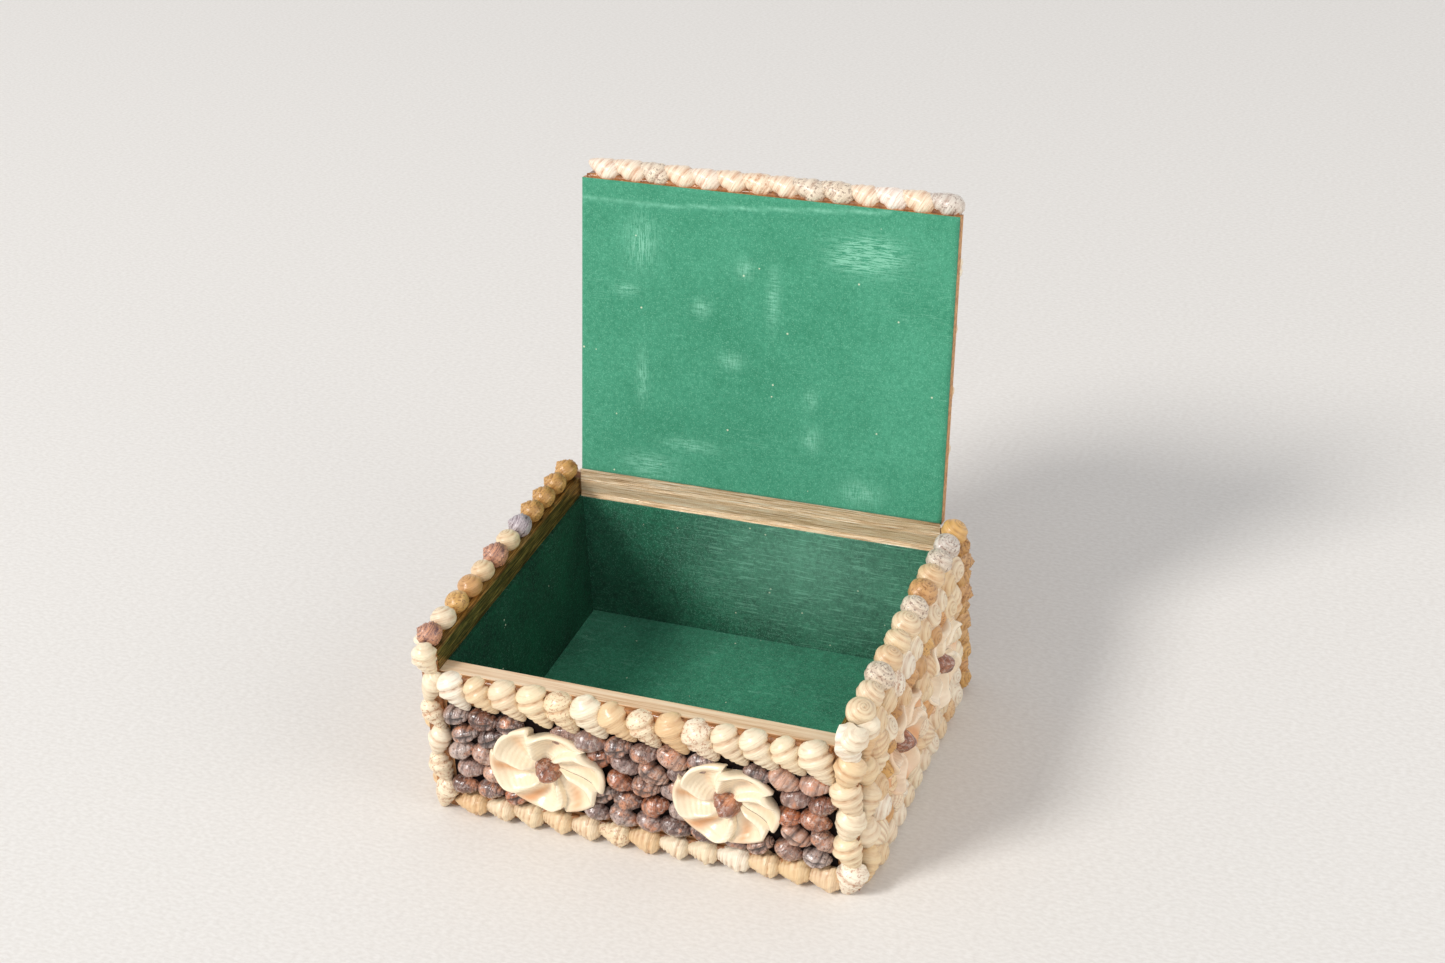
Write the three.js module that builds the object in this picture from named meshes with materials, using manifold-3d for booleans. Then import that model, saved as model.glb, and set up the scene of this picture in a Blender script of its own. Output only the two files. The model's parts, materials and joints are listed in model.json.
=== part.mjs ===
// A hinged card box with a flocked lining, covered outside with small glued seashells.
// Millimetres, +Z up, front towards -Y. The origin is the centre of the underside.
import * as THREE from 'three';
import { mergeVertices } from 'three/addons/utils/BufferGeometryUtils.js';
import Module from 'manifold-3d';

const wasm = await Module();
wasm.setup();

// Driving dimensions of the compartment, measured between the faces of the lining
const inner_width = 128;
const inner_depth = 102;
const inner_height = 47.6;

// Boards, linings and papers
const wall_t = 4;
const base_t = 5;
const lining_t = 1.6;
const floor_lining_t = 1.5;
const floor_lining_clearance = 0.3;
const foil_t = 0.3;
const rim_rise = 6.8;

// The lid: a board with a flocked lining, seated on the ledge that the wall linings make
const lid_lining_t = 1;
const lid_board_t = 3.7;
const lid_side_clearance = 0.5;
const lid_back_clearance = 1.8;
const lid_front_overlap = 2;
const lid_seat_gap = 0.3;
const lid_open_deg = 101.3;
const hinge_behind_lid = 5.1;
const hinge_above_seat = 3.585;

// Glue: the bed that each group of shells sits in, and the thin line under it
const glue_gap = 0.3;
const glue_t = 1.2;
const glue_sink = 0.25;
const region_gap = 0.3;
const ground_gap = 0.4;

// How far the shells stand out of their wall, and how high the axis of a shell lies
const shell_relief = 5.7;
const bottom_pitch = 9.9;
const shell_seat = glue_t - 0.1;
const rosette_relief = 6.6;

// Shells: length, width
const whelk = { length: 12, width: 7.8 };
const cerith = { length: 10.6, width: 7 };
const edge_whelk = { length: 9.2, width: 6.2 };
const bean = { length: 8.8, width: 6.4 };
const snail_d = 8.8;
const rim_snail_d = 9.3;
const side_field_d = 9.8;
const cockle = { length: 14, width: 12 };

// Spacing of the shells in rows and fields
const whelk_pitch = 9.15;
const cerith_pitch = 10.9;
const snail_pitch = 9.1;
const side_field_pitch = 10.6;
const bean_pitch = 9;
const bean_row_pitch = 6.7;
const cockle_pitch = 15.2;
const cockle_row_pitch = 13;
const edge_pitch = 9.2;
const row_sway = 0.25;
const column_sway = 0.2;
const rim_sway = 0.1;

// Widths of the bands of shells that frame each face
const column_width = 7.6;
const corner_overhang = 2.4;
const corner_setback = 1.8;
const tip_clearance = 0.5;
const top_band = 11.6;
const top_band_rise = 1;
const bottom_band = 8;
const snail_band = 8.8;
const rim_snail_rise = 3.2;
const rim_snail_out = 0.5;
const rim_inner_clearance = 0.5;
const rim_overlap = 1.4;
const lid_band = 9;
const lid_margin = 1.2;
const edge_row_slack = 1.4;
const back_band_drop = 2.2;

// Rosettes: half their width, what is left above and below them, and how far they lie from the middle of
// their half of the face
const rosette_petals = 6;
const front_left_rosette_across = 19.6;
const front_left_rosette_margin = 0.6;
const front_right_rosette_across = 18;
const front_right_rosette_margin = 1.6;
const front_right_rosette_rise = 1.2;
const front_rosette_inset = 2.2;
const side_rosette_across = 17.6;
const side_rosette_margin = 3.2;
const side_rosette_front_shift = 5.1;
const side_rosette_back_shift = 0.9;
const lid_rosette_across = 21;
const rosette_base_inset = 1.5;
const petal_slope = 0.34;
const petal_dish = 0.9;
const centre_shell_d = 7.2;
const centre_shell_turn = 0.4;
const centre_shell_share = 0.8;

// A petal, as shares of its rosette's reach, width and relief
const petal_middle = 0.55;
const petal_half_length = 0.43;
const petal_half_breadth = 2.5;
const petal_height = 0.56;

// How much the shells of a row, column or field turn and vary
const row_turn = 0.1;
const column_turn = 0.08;
const field_turn = 0.3;
const rim_turn = 0.12;
const length_spread = 0.04;
const field_height = 0.86;
const field_height_spread = 0.1;
const field_overhang = 0.3;
const top_row_turn = -58 * Math.PI / 180;
const lid_border_turn = 0.15;
const left_tip_length = 10.6;
const right_tip_length = 8.2;

// One number for each group of shells, from which its variations follow
const seeds = {
  front: { top_row: 3, bottom_row: 5, left_column: 11, right_column: 13, field: 17 },
  right: { rim_row: 20, second_row: 22, bottom_row: 24, first_column: 26, last_column: 28, field: 30 },
  left: { rim_row: 30, second_row: 32, bottom_row: 34, first_column: 36, last_column: 38, field: 40 },
  back: { top_row: 41, bottom_row: 43, left_column: 45, right_column: 47, field: 49 },
  lid: { front_border: 61, back_border: 66, left_border: 71, right_border: 76, field: 81, edge_row: 91 },
};

// What a shell's variations are drawn for
const traits = { turn: 1, length: 2, field_turn: 7, field_height: 9 };
const line_stride = 31;

// Points nearer to each other than this are one
const merge_reach = 1e-5;

// How finely shells and petals are faceted: on the sides that show most, and on the plainer ones
const fine = { sides: 5, corners: 6, cerith: 'cerith', whelk: 'whelk', snail: 'snail', bean: 'bean' };
const plain = { sides: 4, corners: 5, cerith: 'pebble', whelk: 'pebble', snail: 'pebble', bean: 'pebble' };

// Heights and widths that follow
const half_width = inner_width / 2;
const half_depth = inner_depth / 2;
const wall_inner_x = half_width + lining_t;
const wall_inner_y = half_depth + lining_t;
const outer_x = wall_inner_x + wall_t;
const outer_y = wall_inner_y + wall_t;
const floor_top = base_t + floor_lining_t;
const ledge_z = floor_top + inner_height;
const rim_top = ledge_z + rim_rise;
const wall_top = rim_top - foil_t;
const front_wall_top = ledge_z - foil_t;
const recess_x = wall_inner_x - foil_t;
const recess_y = wall_inner_y - foil_t;

// The lid when it is closed
const lid_x = recess_x - lid_side_clearance;
const lid_back_y = recess_y - lid_back_clearance;
const lid_front_y = -half_depth - lid_front_overlap;
const lid_seat_z = ledge_z + lid_seat_gap;
const hinge_y = lid_back_y + hinge_behind_lid;
const hinge_z = lid_seat_z + hinge_above_seat;

// Materials
function paint(color, roughness, metalness = 0) {
  return new THREE.MeshStandardMaterial({ color, roughness, metalness });
}

const board_card = paint(0xb98a5c, 0.8);
const green_flock = paint(0x2f7d5b, 0.95);
const gold_paper = paint(0xb8863b, 0.45, 0.5);
const peach_paper = paint(0xe3c08f, 0.6);
const cream_shell = paint(0xeadfc6, 0.45);
const brown_shell = paint(0x8d6c68, 0.35);
const ivory_petal = paint(0xf1e7cf, 0.35);
const golden_shell = paint(0xc49a5a, 0.45);

// A repeatable number from 0 to 1 for shell number i and its property k
function jitter(i, k) {
  const wave = Math.sin(i * 12.9898 + k * 78.233) * 43758.5453;
  return wave - Math.floor(wave);
}

// The same, from -reach to reach
function sway(i, k, reach) {
  return (2 * jitter(i, k) - 1) * reach;
}

// A closed geometry as a solid that can be joined and cut
function toSolid(geometry) {
  const bare = geometry.clone();
  bare.deleteAttribute('normal');
  bare.deleteAttribute('uv');
  const merged = mergeVertices(bare, merge_reach);
  const index = merged.index.array;
  const triangles = [];
  for (let i = 0; i < index.length; i += 3) {
    const [a, b, c] = [index[i], index[i + 1], index[i + 2]];
    if (a !== b && b !== c && c !== a) triangles.push(a, b, c);
  }
  return new wasm.Manifold(new wasm.Mesh({
    numProp: 3,
    vertProperties: new Float32Array(merged.attributes.position.array),
    triVerts: new Uint32Array(triangles),
  }));
}

function toGeometry(solid) {
  const mesh = solid.getMesh();
  const geometry = new THREE.BufferGeometry();
  geometry.setAttribute('position', new THREE.BufferAttribute(new Float32Array(mesh.vertProperties), 3));
  geometry.setIndex(new THREE.BufferAttribute(new Uint32Array(mesh.triVerts), 1));
  geometry.computeVertexNormals();
  return geometry;
}

function joined(solids) {
  return solids.reduce((whole, next) => whole.add(next));
}

function named(name, geometry, material) {
  const mesh = new THREE.Mesh(geometry, material);
  mesh.name = name;
  return mesh;
}

// A block between two corners
function block(low, high) {
  const size = high.map((value, axis) => value - low[axis]);
  const geometry = new THREE.BoxGeometry(...size);
  geometry.translate(...low.map((value, axis) => value + size[axis] / 2));
  return geometry;
}

// A bar of constant section along one axis: the outline lies in the plane across that axis
function bar(outline, start, end, axis) {
  const shape = new THREE.Shape(outline.map(([a, b]) => new THREE.Vector2(a, b)));
  const geometry = new THREE.ExtrudeGeometry(shape, { depth: end - start, bevelEnabled: false });
  geometry.translate(0, 0, start);
  if (axis === 'x') geometry.applyMatrix4(new THREE.Matrix4().makeBasis(
    new THREE.Vector3(0, 1, 0), new THREE.Vector3(0, 0, 1), new THREE.Vector3(1, 0, 0)));
  if (axis === 'y') geometry.applyMatrix4(new THREE.Matrix4().makeBasis(
    new THREE.Vector3(-1, 0, 0), new THREE.Vector3(0, 0, 1), new THREE.Vector3(0, 1, 0)));
  return geometry;
}

// Unit shell forms: stations from the blunt end to the tip, as [place along the axis, radius]
const forms = {
  whelk: [[-0.5, 0], [-0.4, 0.34], [-0.12, 0.5], [0.2, 0.28], [0.5, 0]],
  cerith: [[-0.5, 0], [-0.38, 0.4], [0, 0.46], [0.5, 0]],
  bean: [[-0.5, 0], [-0.27, 0.48], [0.27, 0.48], [0.5, 0]],
  snail: [[-0.5, 0], [-0.26, 0.46], [0.24, 0.46], [0.5, 0]],
  pebble: [[-0.5, 0], [-0.05, 0.5], [0.5, 0]],
};

// A shell lying on a face: its axis points along angle, measured from the face's +X
function shell({ form, sides, at, angle = 0, length, width, height, lift = 0 }) {
  const stations = forms[form].map(([place, radius]) => new THREE.Vector2(radius, place));
  const geometry = new THREE.LatheGeometry(stations, sides);
  geometry.rotateZ(-Math.PI / 2);
  geometry.rotateX(Math.PI / 2);
  geometry.scale(length, width, 2 * height);
  geometry.rotateZ(angle);
  geometry.translate(at[0], at[1], shell_seat + lift);
  return toSolid(geometry);
}

// Places of shells in a row: as many as fit at the pitch, centred, with a little sway
function row(start, end, pitch, seed, reach = row_sway) {
  const count = Math.max(1, Math.round((end - start) / pitch));
  const step = (end - start) / count;
  return Array.from({ length: count }, (_, i) => start + (i + 0.5) * step + sway(i, seed, reach));
}

// One group of shells in its bed of glue, trimmed to its own region of the face
function shellGroup({ region, bed = region, shells, holes = [], tip = null }) {
  const trim = toSolid(block(
    [region.left, region.low, glue_sink], [region.right, region.high, 2 * shell_relief]));
  const bed_solid = toSolid(block([bed.left, bed.low, 0], [bed.right, bed.high, glue_t]));
  let solid = joined(shells).intersect(trim).add(bed_solid);
  for (const hole of holes) solid = solid.subtract(hole);
  if (tip) solid = solid.add(tip);
  return toGeometry(solid);
}

// The last shell of a front column, which stands up beside the rim of the side wall
function columnTip(left, right, length) {
  const low = front_wall_top - glue_t;
  const trim = toSolid(block([left, low, glue_sink], [right, 2 * rim_top, 2 * shell_relief]));
  const bed = toSolid(block([left, low, 0], [right, Math.min(wall_top, low + length), glue_t]));
  const tip = shell({
    form: 'cerith', sides: fine.sides, at: [(left + right) / 2, low + length / 2], angle: Math.PI / 2,
    length, width: right - left, height: shell_relief - shell_seat,
  });
  return tip.intersect(trim).add(bed);
}

// The outline of a rosette as an upright drum, for the rosette's base and for the hole around it
function drum(rosette, at, margin, low, high) {
  const geometry = new THREE.CylinderGeometry(1, 1, high - low, 2 * rosette.petals);
  geometry.rotateX(Math.PI / 2);
  geometry.scale(rosette.across + margin, rosette.up + margin, 1);
  geometry.translate(at[0], at[1], (low + high) / 2);
  return toSolid(geometry);
}

// One petal: an oval cup whose rim climbs from one side to the other, on upright sides
function petal(spec, at, turn, corners) {
  const reach = Math.hypot(spec.across * Math.cos(turn), spec.up * Math.sin(turn));
  const middle = petal_middle * reach;
  const half_length = petal_half_length * reach;
  const half_breadth = petal_half_breadth * spec.across / spec.petals;
  const middle_height = petal_height * rosette_relief;
  const points = [];
  const add = (along, beside, height) => points.push(
    at[0] + along * Math.cos(turn) - beside * Math.sin(turn),
    at[1] + along * Math.sin(turn) + beside * Math.cos(turn), height);
  for (let i = 0; i < corners; i += 1) {
    const angle = (2 * Math.PI * i) / corners;
    const along = middle + half_length * Math.cos(angle);
    const beside = half_breadth * Math.sin(angle);
    add(along, beside, glue_sink);
    add(along, beside, middle_height + petal_slope * beside);
  }
  add(middle, 0, glue_sink);
  add(middle, 0, middle_height - petal_dish);
  const [bottom, top] = [2 * corners, 2 * corners + 1];
  const triangles = [];
  for (let i = 0; i < corners; i += 1) {
    const [low, next] = [2 * i, 2 * ((i + 1) % corners)];
    triangles.push(low, next, next + 1, low, next + 1, low + 1, low + 1, next + 1, top, next, low, bottom);
  }
  const geometry = new THREE.BufferGeometry();
  geometry.setAttribute('position', new THREE.Float32BufferAttribute(points, 3));
  geometry.setIndex(triangles);
  return toSolid(geometry);
}

// A rosette: petals that overlap like a pinwheel round a small shell
function rosette(spec, at, facets) {
  const base = drum(spec, at, -rosette_base_inset, 0, glue_t);
  const petals = Array.from({ length: spec.petals },
    (_, i) => petal(spec, at, (i / spec.petals) * 2 * Math.PI, facets.corners));
  const centre = shell({
    form: 'bean', sides: facets.sides, at, angle: centre_shell_turn,
    length: centre_shell_d, width: centre_shell_d, height: centre_shell_share * rosette_relief,
  });
  const above_wall = drum(spec, at, 0, glue_sink, 2 * rosette_relief);
  return toGeometry(joined([...petals, centre]).intersect(above_wall).add(base));
}

// A row of shells that lie beside each other, each with its axis turned by angle
function lyingRow(region, bed, kind, form, pitch, angle, seed, { sides }) {
  const middle = (region.low + region.high) / 2;
  const shells = row(region.left, region.right, pitch, seed).map((x, i) => shell({
    form,
    sides,
    at: [x, middle],
    angle: angle + sway(i, seed + traits.turn, row_turn),
    length: kind.length * (1 + sway(i, seed + traits.length, length_spread)),
    width: kind.width,
    height: shell_relief - shell_seat,
  }));
  return shellGroup({ region, bed, shells });
}

// A corner column of shells that stand on end
function column(region, bed, kind, seed, { sides, cerith: form }, tip) {
  const middle = (region.left + region.right) / 2;
  const shells = row(region.low, region.high, cerith_pitch, seed, column_sway).map((y, i) => shell({
    form,
    sides,
    at: [middle, y],
    angle: (i % 2 ? 1 : -1) * Math.PI / 2 + sway(i, seed + traits.turn, column_turn),
    length: kind.length,
    width: kind.width,
    height: shell_relief - shell_seat,
  }));
  return shellGroup({ region, bed, shells, tip });
}

// A field of shells in staggered rows, left out where a rosette takes their place
function field(region, kind, form, pitch, row_pitch, rosettes, seed, { sides }) {
  const lines = Math.max(1, Math.round((region.high - region.low) / row_pitch));
  const step_up = (region.high - region.low) / lines;
  const shells = [];
  for (let line = 0; line < lines; line += 1) {
    const y = region.low + (line + 0.5) * step_up;
    const shift = (line % 2) * pitch / 2;
    const places = row(region.left + shift, region.right - pitch / 2 + shift, pitch, seed + line);
    places.forEach((x, i) => {
      const number = line_stride * line + i;
      const taken = rosettes.some(({ spec, at }) => Math.hypot(
        (x - at[0]) / (spec.across + field_overhang * kind.length),
        (y - at[1]) / (spec.up + field_overhang * kind.width)) < 1);
      if (taken) return;
      const share = field_height + field_height_spread * jitter(number, seed + traits.field_height);
      shells.push(shell({
        form,
        sides,
        at: [x, y],
        angle: sway(number, seed + traits.field_turn, field_turn),
        length: kind.length,
        width: kind.width,
        height: share * (shell_relief - shell_seat),
      }));
    });
  }
  const holes = rosettes.map(({ spec, at }) => drum(spec, at, region_gap, -glue_t, 3 * shell_relief));
  return shellGroup({ region, shells, holes });
}

// The row of round shells that sits on the rim of a side wall, trimmed where the wall runs
function rimRow(left, right, seed, { sides, snail: form }) {
  const wall_cut = toSolid(block(
    [left - rim_snail_d, 0, -2 * wall_t], [right + rim_snail_d, rim_top + glue_gap, 0]));
  const lid_cut = toSolid(block(
    [left - rim_snail_d, 0, -4 * wall_t],
    [right + rim_snail_d, 2 * rim_top, recess_x + rim_inner_clearance - outer_x - glue_gap]));
  const shells = row(left, right, snail_pitch, seed, rim_sway).map((x, i) => shell({
    form,
    sides,
    at: [x, rim_top + rim_snail_rise],
    angle: Math.PI / 2 + sway(i, seed, rim_turn),
    length: rim_snail_d,
    width: rim_overlap * snail_pitch,
    height: 0.5 * rim_snail_d,
    lift: rim_snail_out - shell_seat,
  }));
  return toGeometry(joined(shells).subtract(wall_cut).subtract(lid_cut));
}

// A face of the box: its group turns it to its side, with +X to the right as seen from outside
function face(turn, distance, meshes) {
  const panel = new THREE.Group();
  panel.rotation.x = Math.PI / 2;
  panel.position.y = -distance;
  panel.add(...meshes);
  const side = new THREE.Group();
  side.rotation.z = turn;
  side.add(panel);
  return side;
}

// Boards of the box: the base carries the walls, and the end walls stand between the side walls
function boards() {
  const pieces = {
    base_board: [[-outer_x, -outer_y, 0], [outer_x, outer_y, base_t]],
    front_wall: [[-wall_inner_x, -outer_y, base_t], [wall_inner_x, -wall_inner_y, front_wall_top]],
    back_wall: [[-wall_inner_x, wall_inner_y, base_t], [wall_inner_x, outer_y, wall_top]],
    left_wall: [[-outer_x, -outer_y, base_t], [-wall_inner_x, outer_y, wall_top]],
    right_wall: [[wall_inner_x, -outer_y, base_t], [outer_x, outer_y, wall_top]],
  };
  return Object.entries(pieces).map(([name, [low, high]]) => named(name, block(low, high), board_card));
}

// Flocked linings: the ends run the whole width, the sides fit between them and the floor inside all four
function linings() {
  const floor_x = half_width - floor_lining_clearance;
  const floor_y = half_depth - floor_lining_clearance;
  const pieces = {
    floor_lining: [[-floor_x, -floor_y, base_t], [floor_x, floor_y, floor_top]],
    front_lining: [[-wall_inner_x, -wall_inner_y, base_t], [wall_inner_x, -half_depth, front_wall_top]],
    back_lining: [[-wall_inner_x, half_depth, base_t], [wall_inner_x, wall_inner_y, ledge_z]],
    left_lining: [[-wall_inner_x, -half_depth, base_t], [-half_width, half_depth, ledge_z]],
    right_lining: [[half_width, -half_depth, base_t], [wall_inner_x, half_depth, ledge_z]],
  };
  return Object.entries(pieces).map(([name, [low, high]]) => named(name, block(low, high), green_flock));
}

// Papers: the strip on the low front wall, the gold rims of the sides and the hinge strip behind
function papers() {
  const front_strip = block(
    [-wall_inner_x, -outer_y, front_wall_top], [wall_inner_x, -half_depth, ledge_z]);
  const rim_outline = [
    [recess_x, ledge_z], [wall_inner_x, ledge_z], [wall_inner_x, wall_top],
    [outer_x, wall_top], [outer_x, rim_top], [recess_x, rim_top],
  ];
  const right_outline = rim_outline.map(([x, z]) => [-x, z]).reverse();
  const hinge_outline = [
    [recess_y, ledge_z], [wall_inner_y, ledge_z], [wall_inner_y, wall_top],
    [outer_y, wall_top], [outer_y, rim_top], [recess_y, rim_top],
  ];
  return [
    named('front_edge_strip', front_strip, peach_paper),
    named('left_rim_foil', bar(rim_outline, -outer_y, recess_y, 'y'), gold_paper),
    named('right_rim_foil', bar(right_outline, -outer_y, recess_y, 'y'), gold_paper),
    named('hinge_strip', bar(hinge_outline, -wall_inner_x, wall_inner_x, 'x'), gold_paper),
  ];
}

// A rosette that fills the height of its region but for a margin
function placeRosette(region, x, across, margin, rise) {
  const up = (region.high - region.low) / 2 - margin;
  return { spec: { across, up, petals: rosette_petals }, at: [x, (region.low + region.high) / 2 + rise] };
}

// The front: a rope of whelks over a field of brown shells with two rosettes
function frontFace() {
  const edge = outer_x + corner_overhang;
  const inner = edge - column_width - region_gap;
  const top = ledge_z + top_band_rise;
  const band = top - top_band - top_band_rise;
  const bottom = { left: -inner, right: inner, low: ground_gap, high: bottom_band };
  const middle = { left: -inner, right: inner, low: bottom_band + region_gap, high: band - region_gap };
  const top_region = { left: -inner, right: inner, low: band, high: top };
  const top_bed = { ...top_region, high: front_wall_top };
  const rosette_x = inner / 2 - front_rosette_inset;
  const rosettes = [
    placeRosette(middle, -rosette_x, front_left_rosette_across, front_left_rosette_margin, 0),
    placeRosette(middle, rosette_x, front_right_rosette_across, front_right_rosette_margin,
      front_right_rosette_rise),
  ];
  const left_column = { left: -edge, right: -inner - region_gap, low: ground_gap, high: top };
  const right_column = { left: inner + region_gap, right: edge, low: ground_gap, high: top };
  const column_top = { high: front_wall_top };
  const left_tip = columnTip(-edge, -recess_x - tip_clearance, left_tip_length);
  const right_tip = columnTip(recess_x + tip_clearance, edge, right_tip_length);
  const seed = seeds.front;
  return face(0, outer_y + glue_gap, [
    named('front_top_row', lyingRow(
      top_region, top_bed, whelk, fine.whelk, whelk_pitch, top_row_turn, seed.top_row, fine), cream_shell),
    named('front_bottom_row', lyingRow(
      bottom, bottom, cerith, fine.cerith, bottom_pitch, Math.PI, seed.bottom_row, fine), cream_shell),
    named('front_left_column', column(
      left_column, { ...left_column, ...column_top }, cerith, seed.left_column, fine, left_tip), cream_shell),
    named('front_right_column', column(
      right_column, { ...right_column, ...column_top }, cerith, seed.right_column, fine, right_tip),
    cream_shell),
    named('front_field', field(
      middle, bean, 'bean', bean_pitch, bean_row_pitch, rosettes, seed.field, fine), brown_shell),
    named('front_left_rosette', rosette(rosettes[0].spec, rosettes[0].at, fine), ivory_petal),
    named('front_right_rosette', rosette(rosettes[1].spec, rosettes[1].at, fine), ivory_petal),
  ]);
}

// A side: round shells on the rim and under it, two rosettes in a field of mixed shells
function sideFace(name, turn, facets) {
  const seed = seeds[name];
  const edge = outer_y - corner_setback;
  const inner = edge - column_width - region_gap;
  const under_rim = rim_top - glue_t - region_gap;
  const second = { left: -inner, right: inner, low: under_rim - snail_band, high: under_rim };
  const bottom = { left: -inner, right: inner, low: ground_gap, high: snail_band };
  const middle = { left: -inner, right: inner, low: snail_band + region_gap, high: second.low - region_gap };
  const first_column = { left: -edge, right: -inner - region_gap, low: ground_gap, high: under_rim };
  const last_column = { left: inner + region_gap, right: edge, low: ground_gap, high: under_rim };
  const front_shift = -inner / 2 + side_rosette_front_shift;
  const back_shift = inner / 2 + side_rosette_back_shift;
  const rosette_places = turn > 0 ? [front_shift, back_shift] : [-back_shift, -front_shift];
  const rosettes = rosette_places.map(
    (x) => placeRosette(middle, x, side_rosette_across, side_rosette_margin, 0));
  const round = { length: snail_d, width: snail_d };
  const mixed = { length: side_field_d, width: side_field_d };
  const snails = (region, number) => lyingRow(
    region, region, round, facets.snail, snail_pitch, Math.PI / 2, number, facets);
  const standing = (region, number) => column(region, region, cerith, number, facets);
  const shells = field(
    middle, mixed, facets.bean, side_field_pitch, side_field_pitch, rosettes, seed.field, facets);
  const [near, far] = turn > 0 ? ['front', 'back'] : ['back', 'front'];
  const finish = { front: cream_shell, back: golden_shell };
  return face(turn, outer_x + glue_gap, [
    named(`${name}_rim_row`, rimRow(-edge, edge, seed.rim_row, facets), cream_shell),
    named(`${name}_second_row`, snails(second, seed.second_row), cream_shell),
    named(`${name}_bottom_row`, snails(bottom, seed.bottom_row), cream_shell),
    named(`${name}_${near}_column`, standing(first_column, seed.first_column), finish[near]),
    named(`${name}_${far}_column`, standing(last_column, seed.last_column), finish[far]),
    named(`${name}_field`, shells, cream_shell),
    named(`${name}_${near}_rosette`, rosette(rosettes[0].spec, rosettes[0].at, facets), ivory_petal),
    named(`${name}_${far}_rosette`, rosette(rosettes[1].spec, rosettes[1].at, facets), ivory_petal),
  ]);
}

// The back: plainer, and low enough for the lid to lean out over it
function backFace() {
  const edge = outer_x + corner_overhang;
  const inner = edge - column_width - region_gap;
  const top = rim_top - back_band_drop;
  const band = top - top_band;
  const bottom = { left: -inner, right: inner, low: ground_gap, high: bottom_band };
  const middle = { left: -inner, right: inner, low: bottom_band + region_gap, high: band - region_gap };
  const top_region = { left: -inner, right: inner, low: band, high: top };
  const left_column = { left: -edge, right: -inner - region_gap, low: ground_gap, high: top };
  const right_column = { left: inner + region_gap, right: edge, low: ground_gap, high: top };
  const rosettes = [placeRosette(middle, 0, front_left_rosette_across, front_left_rosette_margin, 0)];
  const seed = seeds.back;
  return face(Math.PI, outer_y + glue_gap, [
    named('back_top_row', lyingRow(
      top_region, top_region, whelk, plain.whelk, whelk_pitch, top_row_turn, seed.top_row, plain),
    cream_shell),
    named('back_bottom_row', lyingRow(
      bottom, bottom, cerith, plain.cerith, bottom_pitch, Math.PI, seed.bottom_row, plain), cream_shell),
    named('back_right_column', column(
      left_column, left_column, cerith, seed.left_column, plain), cream_shell),
    named('back_left_column', column(
      right_column, right_column, cerith, seed.right_column, plain), cream_shell),
    named('back_field', field(
      middle, cockle, 'pebble', cockle_pitch, cockle_row_pitch, rosettes, seed.field, plain), golden_shell),
    named('back_rosette', rosette(rosettes[0].spec, rosettes[0].at, plain), ivory_petal),
  ]);
}

// The lid is drawn closed about its hinge line, and its group opens it
function lid() {
  const board_low = lid_lining_t + glue_gap;
  const top = board_low + lid_board_t;
  const depth = lid_back_y - lid_front_y;
  const body = new THREE.Group();
  body.position.set(0, -hinge_y, lid_seat_z - hinge_z);
  body.add(
    named('lid_lining', block([-lid_x, lid_front_y, 0], [lid_x, lid_back_y, lid_lining_t]), green_flock),
    named('lid_board', block([-lid_x, lid_front_y, board_low], [lid_x, lid_back_y, top]), gold_paper),
  );

  const cover = new THREE.Group();
  cover.position.set(0, (lid_front_y + lid_back_y) / 2, top + glue_gap);
  const edge_x = lid_x - lid_margin;
  const edge_y = depth / 2 - lid_margin;
  const inner_x = edge_x - lid_band - region_gap;
  const inner_y = edge_y - lid_band - region_gap;
  const seed = seeds.lid;
  const bands = {
    front_border: { left: -edge_x, right: edge_x, low: -edge_y, high: -inner_y - region_gap },
    back_border: { left: -edge_x, right: edge_x, low: inner_y + region_gap, high: edge_y },
  };
  for (const [name, region] of Object.entries(bands)) {
    const shells = lyingRow(
      region, region, cerith, plain.cerith, cerith_pitch, lid_border_turn, seed[name], plain);
    cover.add(named(`lid_${name}`, shells, cream_shell));
  }
  const sides = {
    left_border: { left: -edge_x, right: -inner_x - region_gap, low: -inner_y, high: inner_y },
    right_border: { left: inner_x + region_gap, right: edge_x, low: -inner_y, high: inner_y },
  };
  for (const [name, region] of Object.entries(sides)) {
    cover.add(named(`lid_${name}`, column(region, region, cerith, seed[name], plain), cream_shell));
  }
  const flower = { across: lid_rosette_across, up: lid_rosette_across, petals: rosette_petals };
  const rosettes = [{ spec: flower, at: [0, 0] }];
  const middle = { left: -inner_x, right: inner_x, low: -inner_y, high: inner_y };
  cover.add(
    named('lid_field', field(
      middle, cockle, 'pebble', cockle_pitch, cockle_row_pitch, rosettes, seed.field, plain), golden_shell),
    named('lid_rosette', rosette(flower, [0, 0], plain), ivory_petal),
  );
  body.add(cover);

  const lip = new THREE.Group();
  lip.rotation.x = Math.PI / 2;
  lip.position.set(0, lid_front_y - glue_gap, 0);
  const above_strip = top_band_rise + 2 * region_gap;
  const lip_top = above_strip + edge_whelk.width + edge_row_slack;
  const lip_region = { left: -lid_x, right: lid_x, low: above_strip, high: lip_top };
  const lip_bed = { ...lip_region, high: top };
  lip.add(named('lid_edge_row', lyingRow(
    lip_region, lip_bed, edge_whelk, fine.cerith, edge_pitch, Math.PI, seed.edge_row, fine), cream_shell));
  body.add(lip);

  const hinge = new THREE.Group();
  hinge.position.set(0, hinge_y, hinge_z);
  hinge.rotation.x = -lid_open_deg * Math.PI / 180;
  hinge.add(body);
  return hinge;
}

const shell_box = new THREE.Group();
shell_box.add(
  ...boards(),
  ...linings(),
  ...papers(),
  frontFace(),
  sideFace('right', Math.PI / 2, fine),
  sideFace('left', -Math.PI / 2, plain),
  backFace(),
  lid(),
);

export default shell_box;
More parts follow.
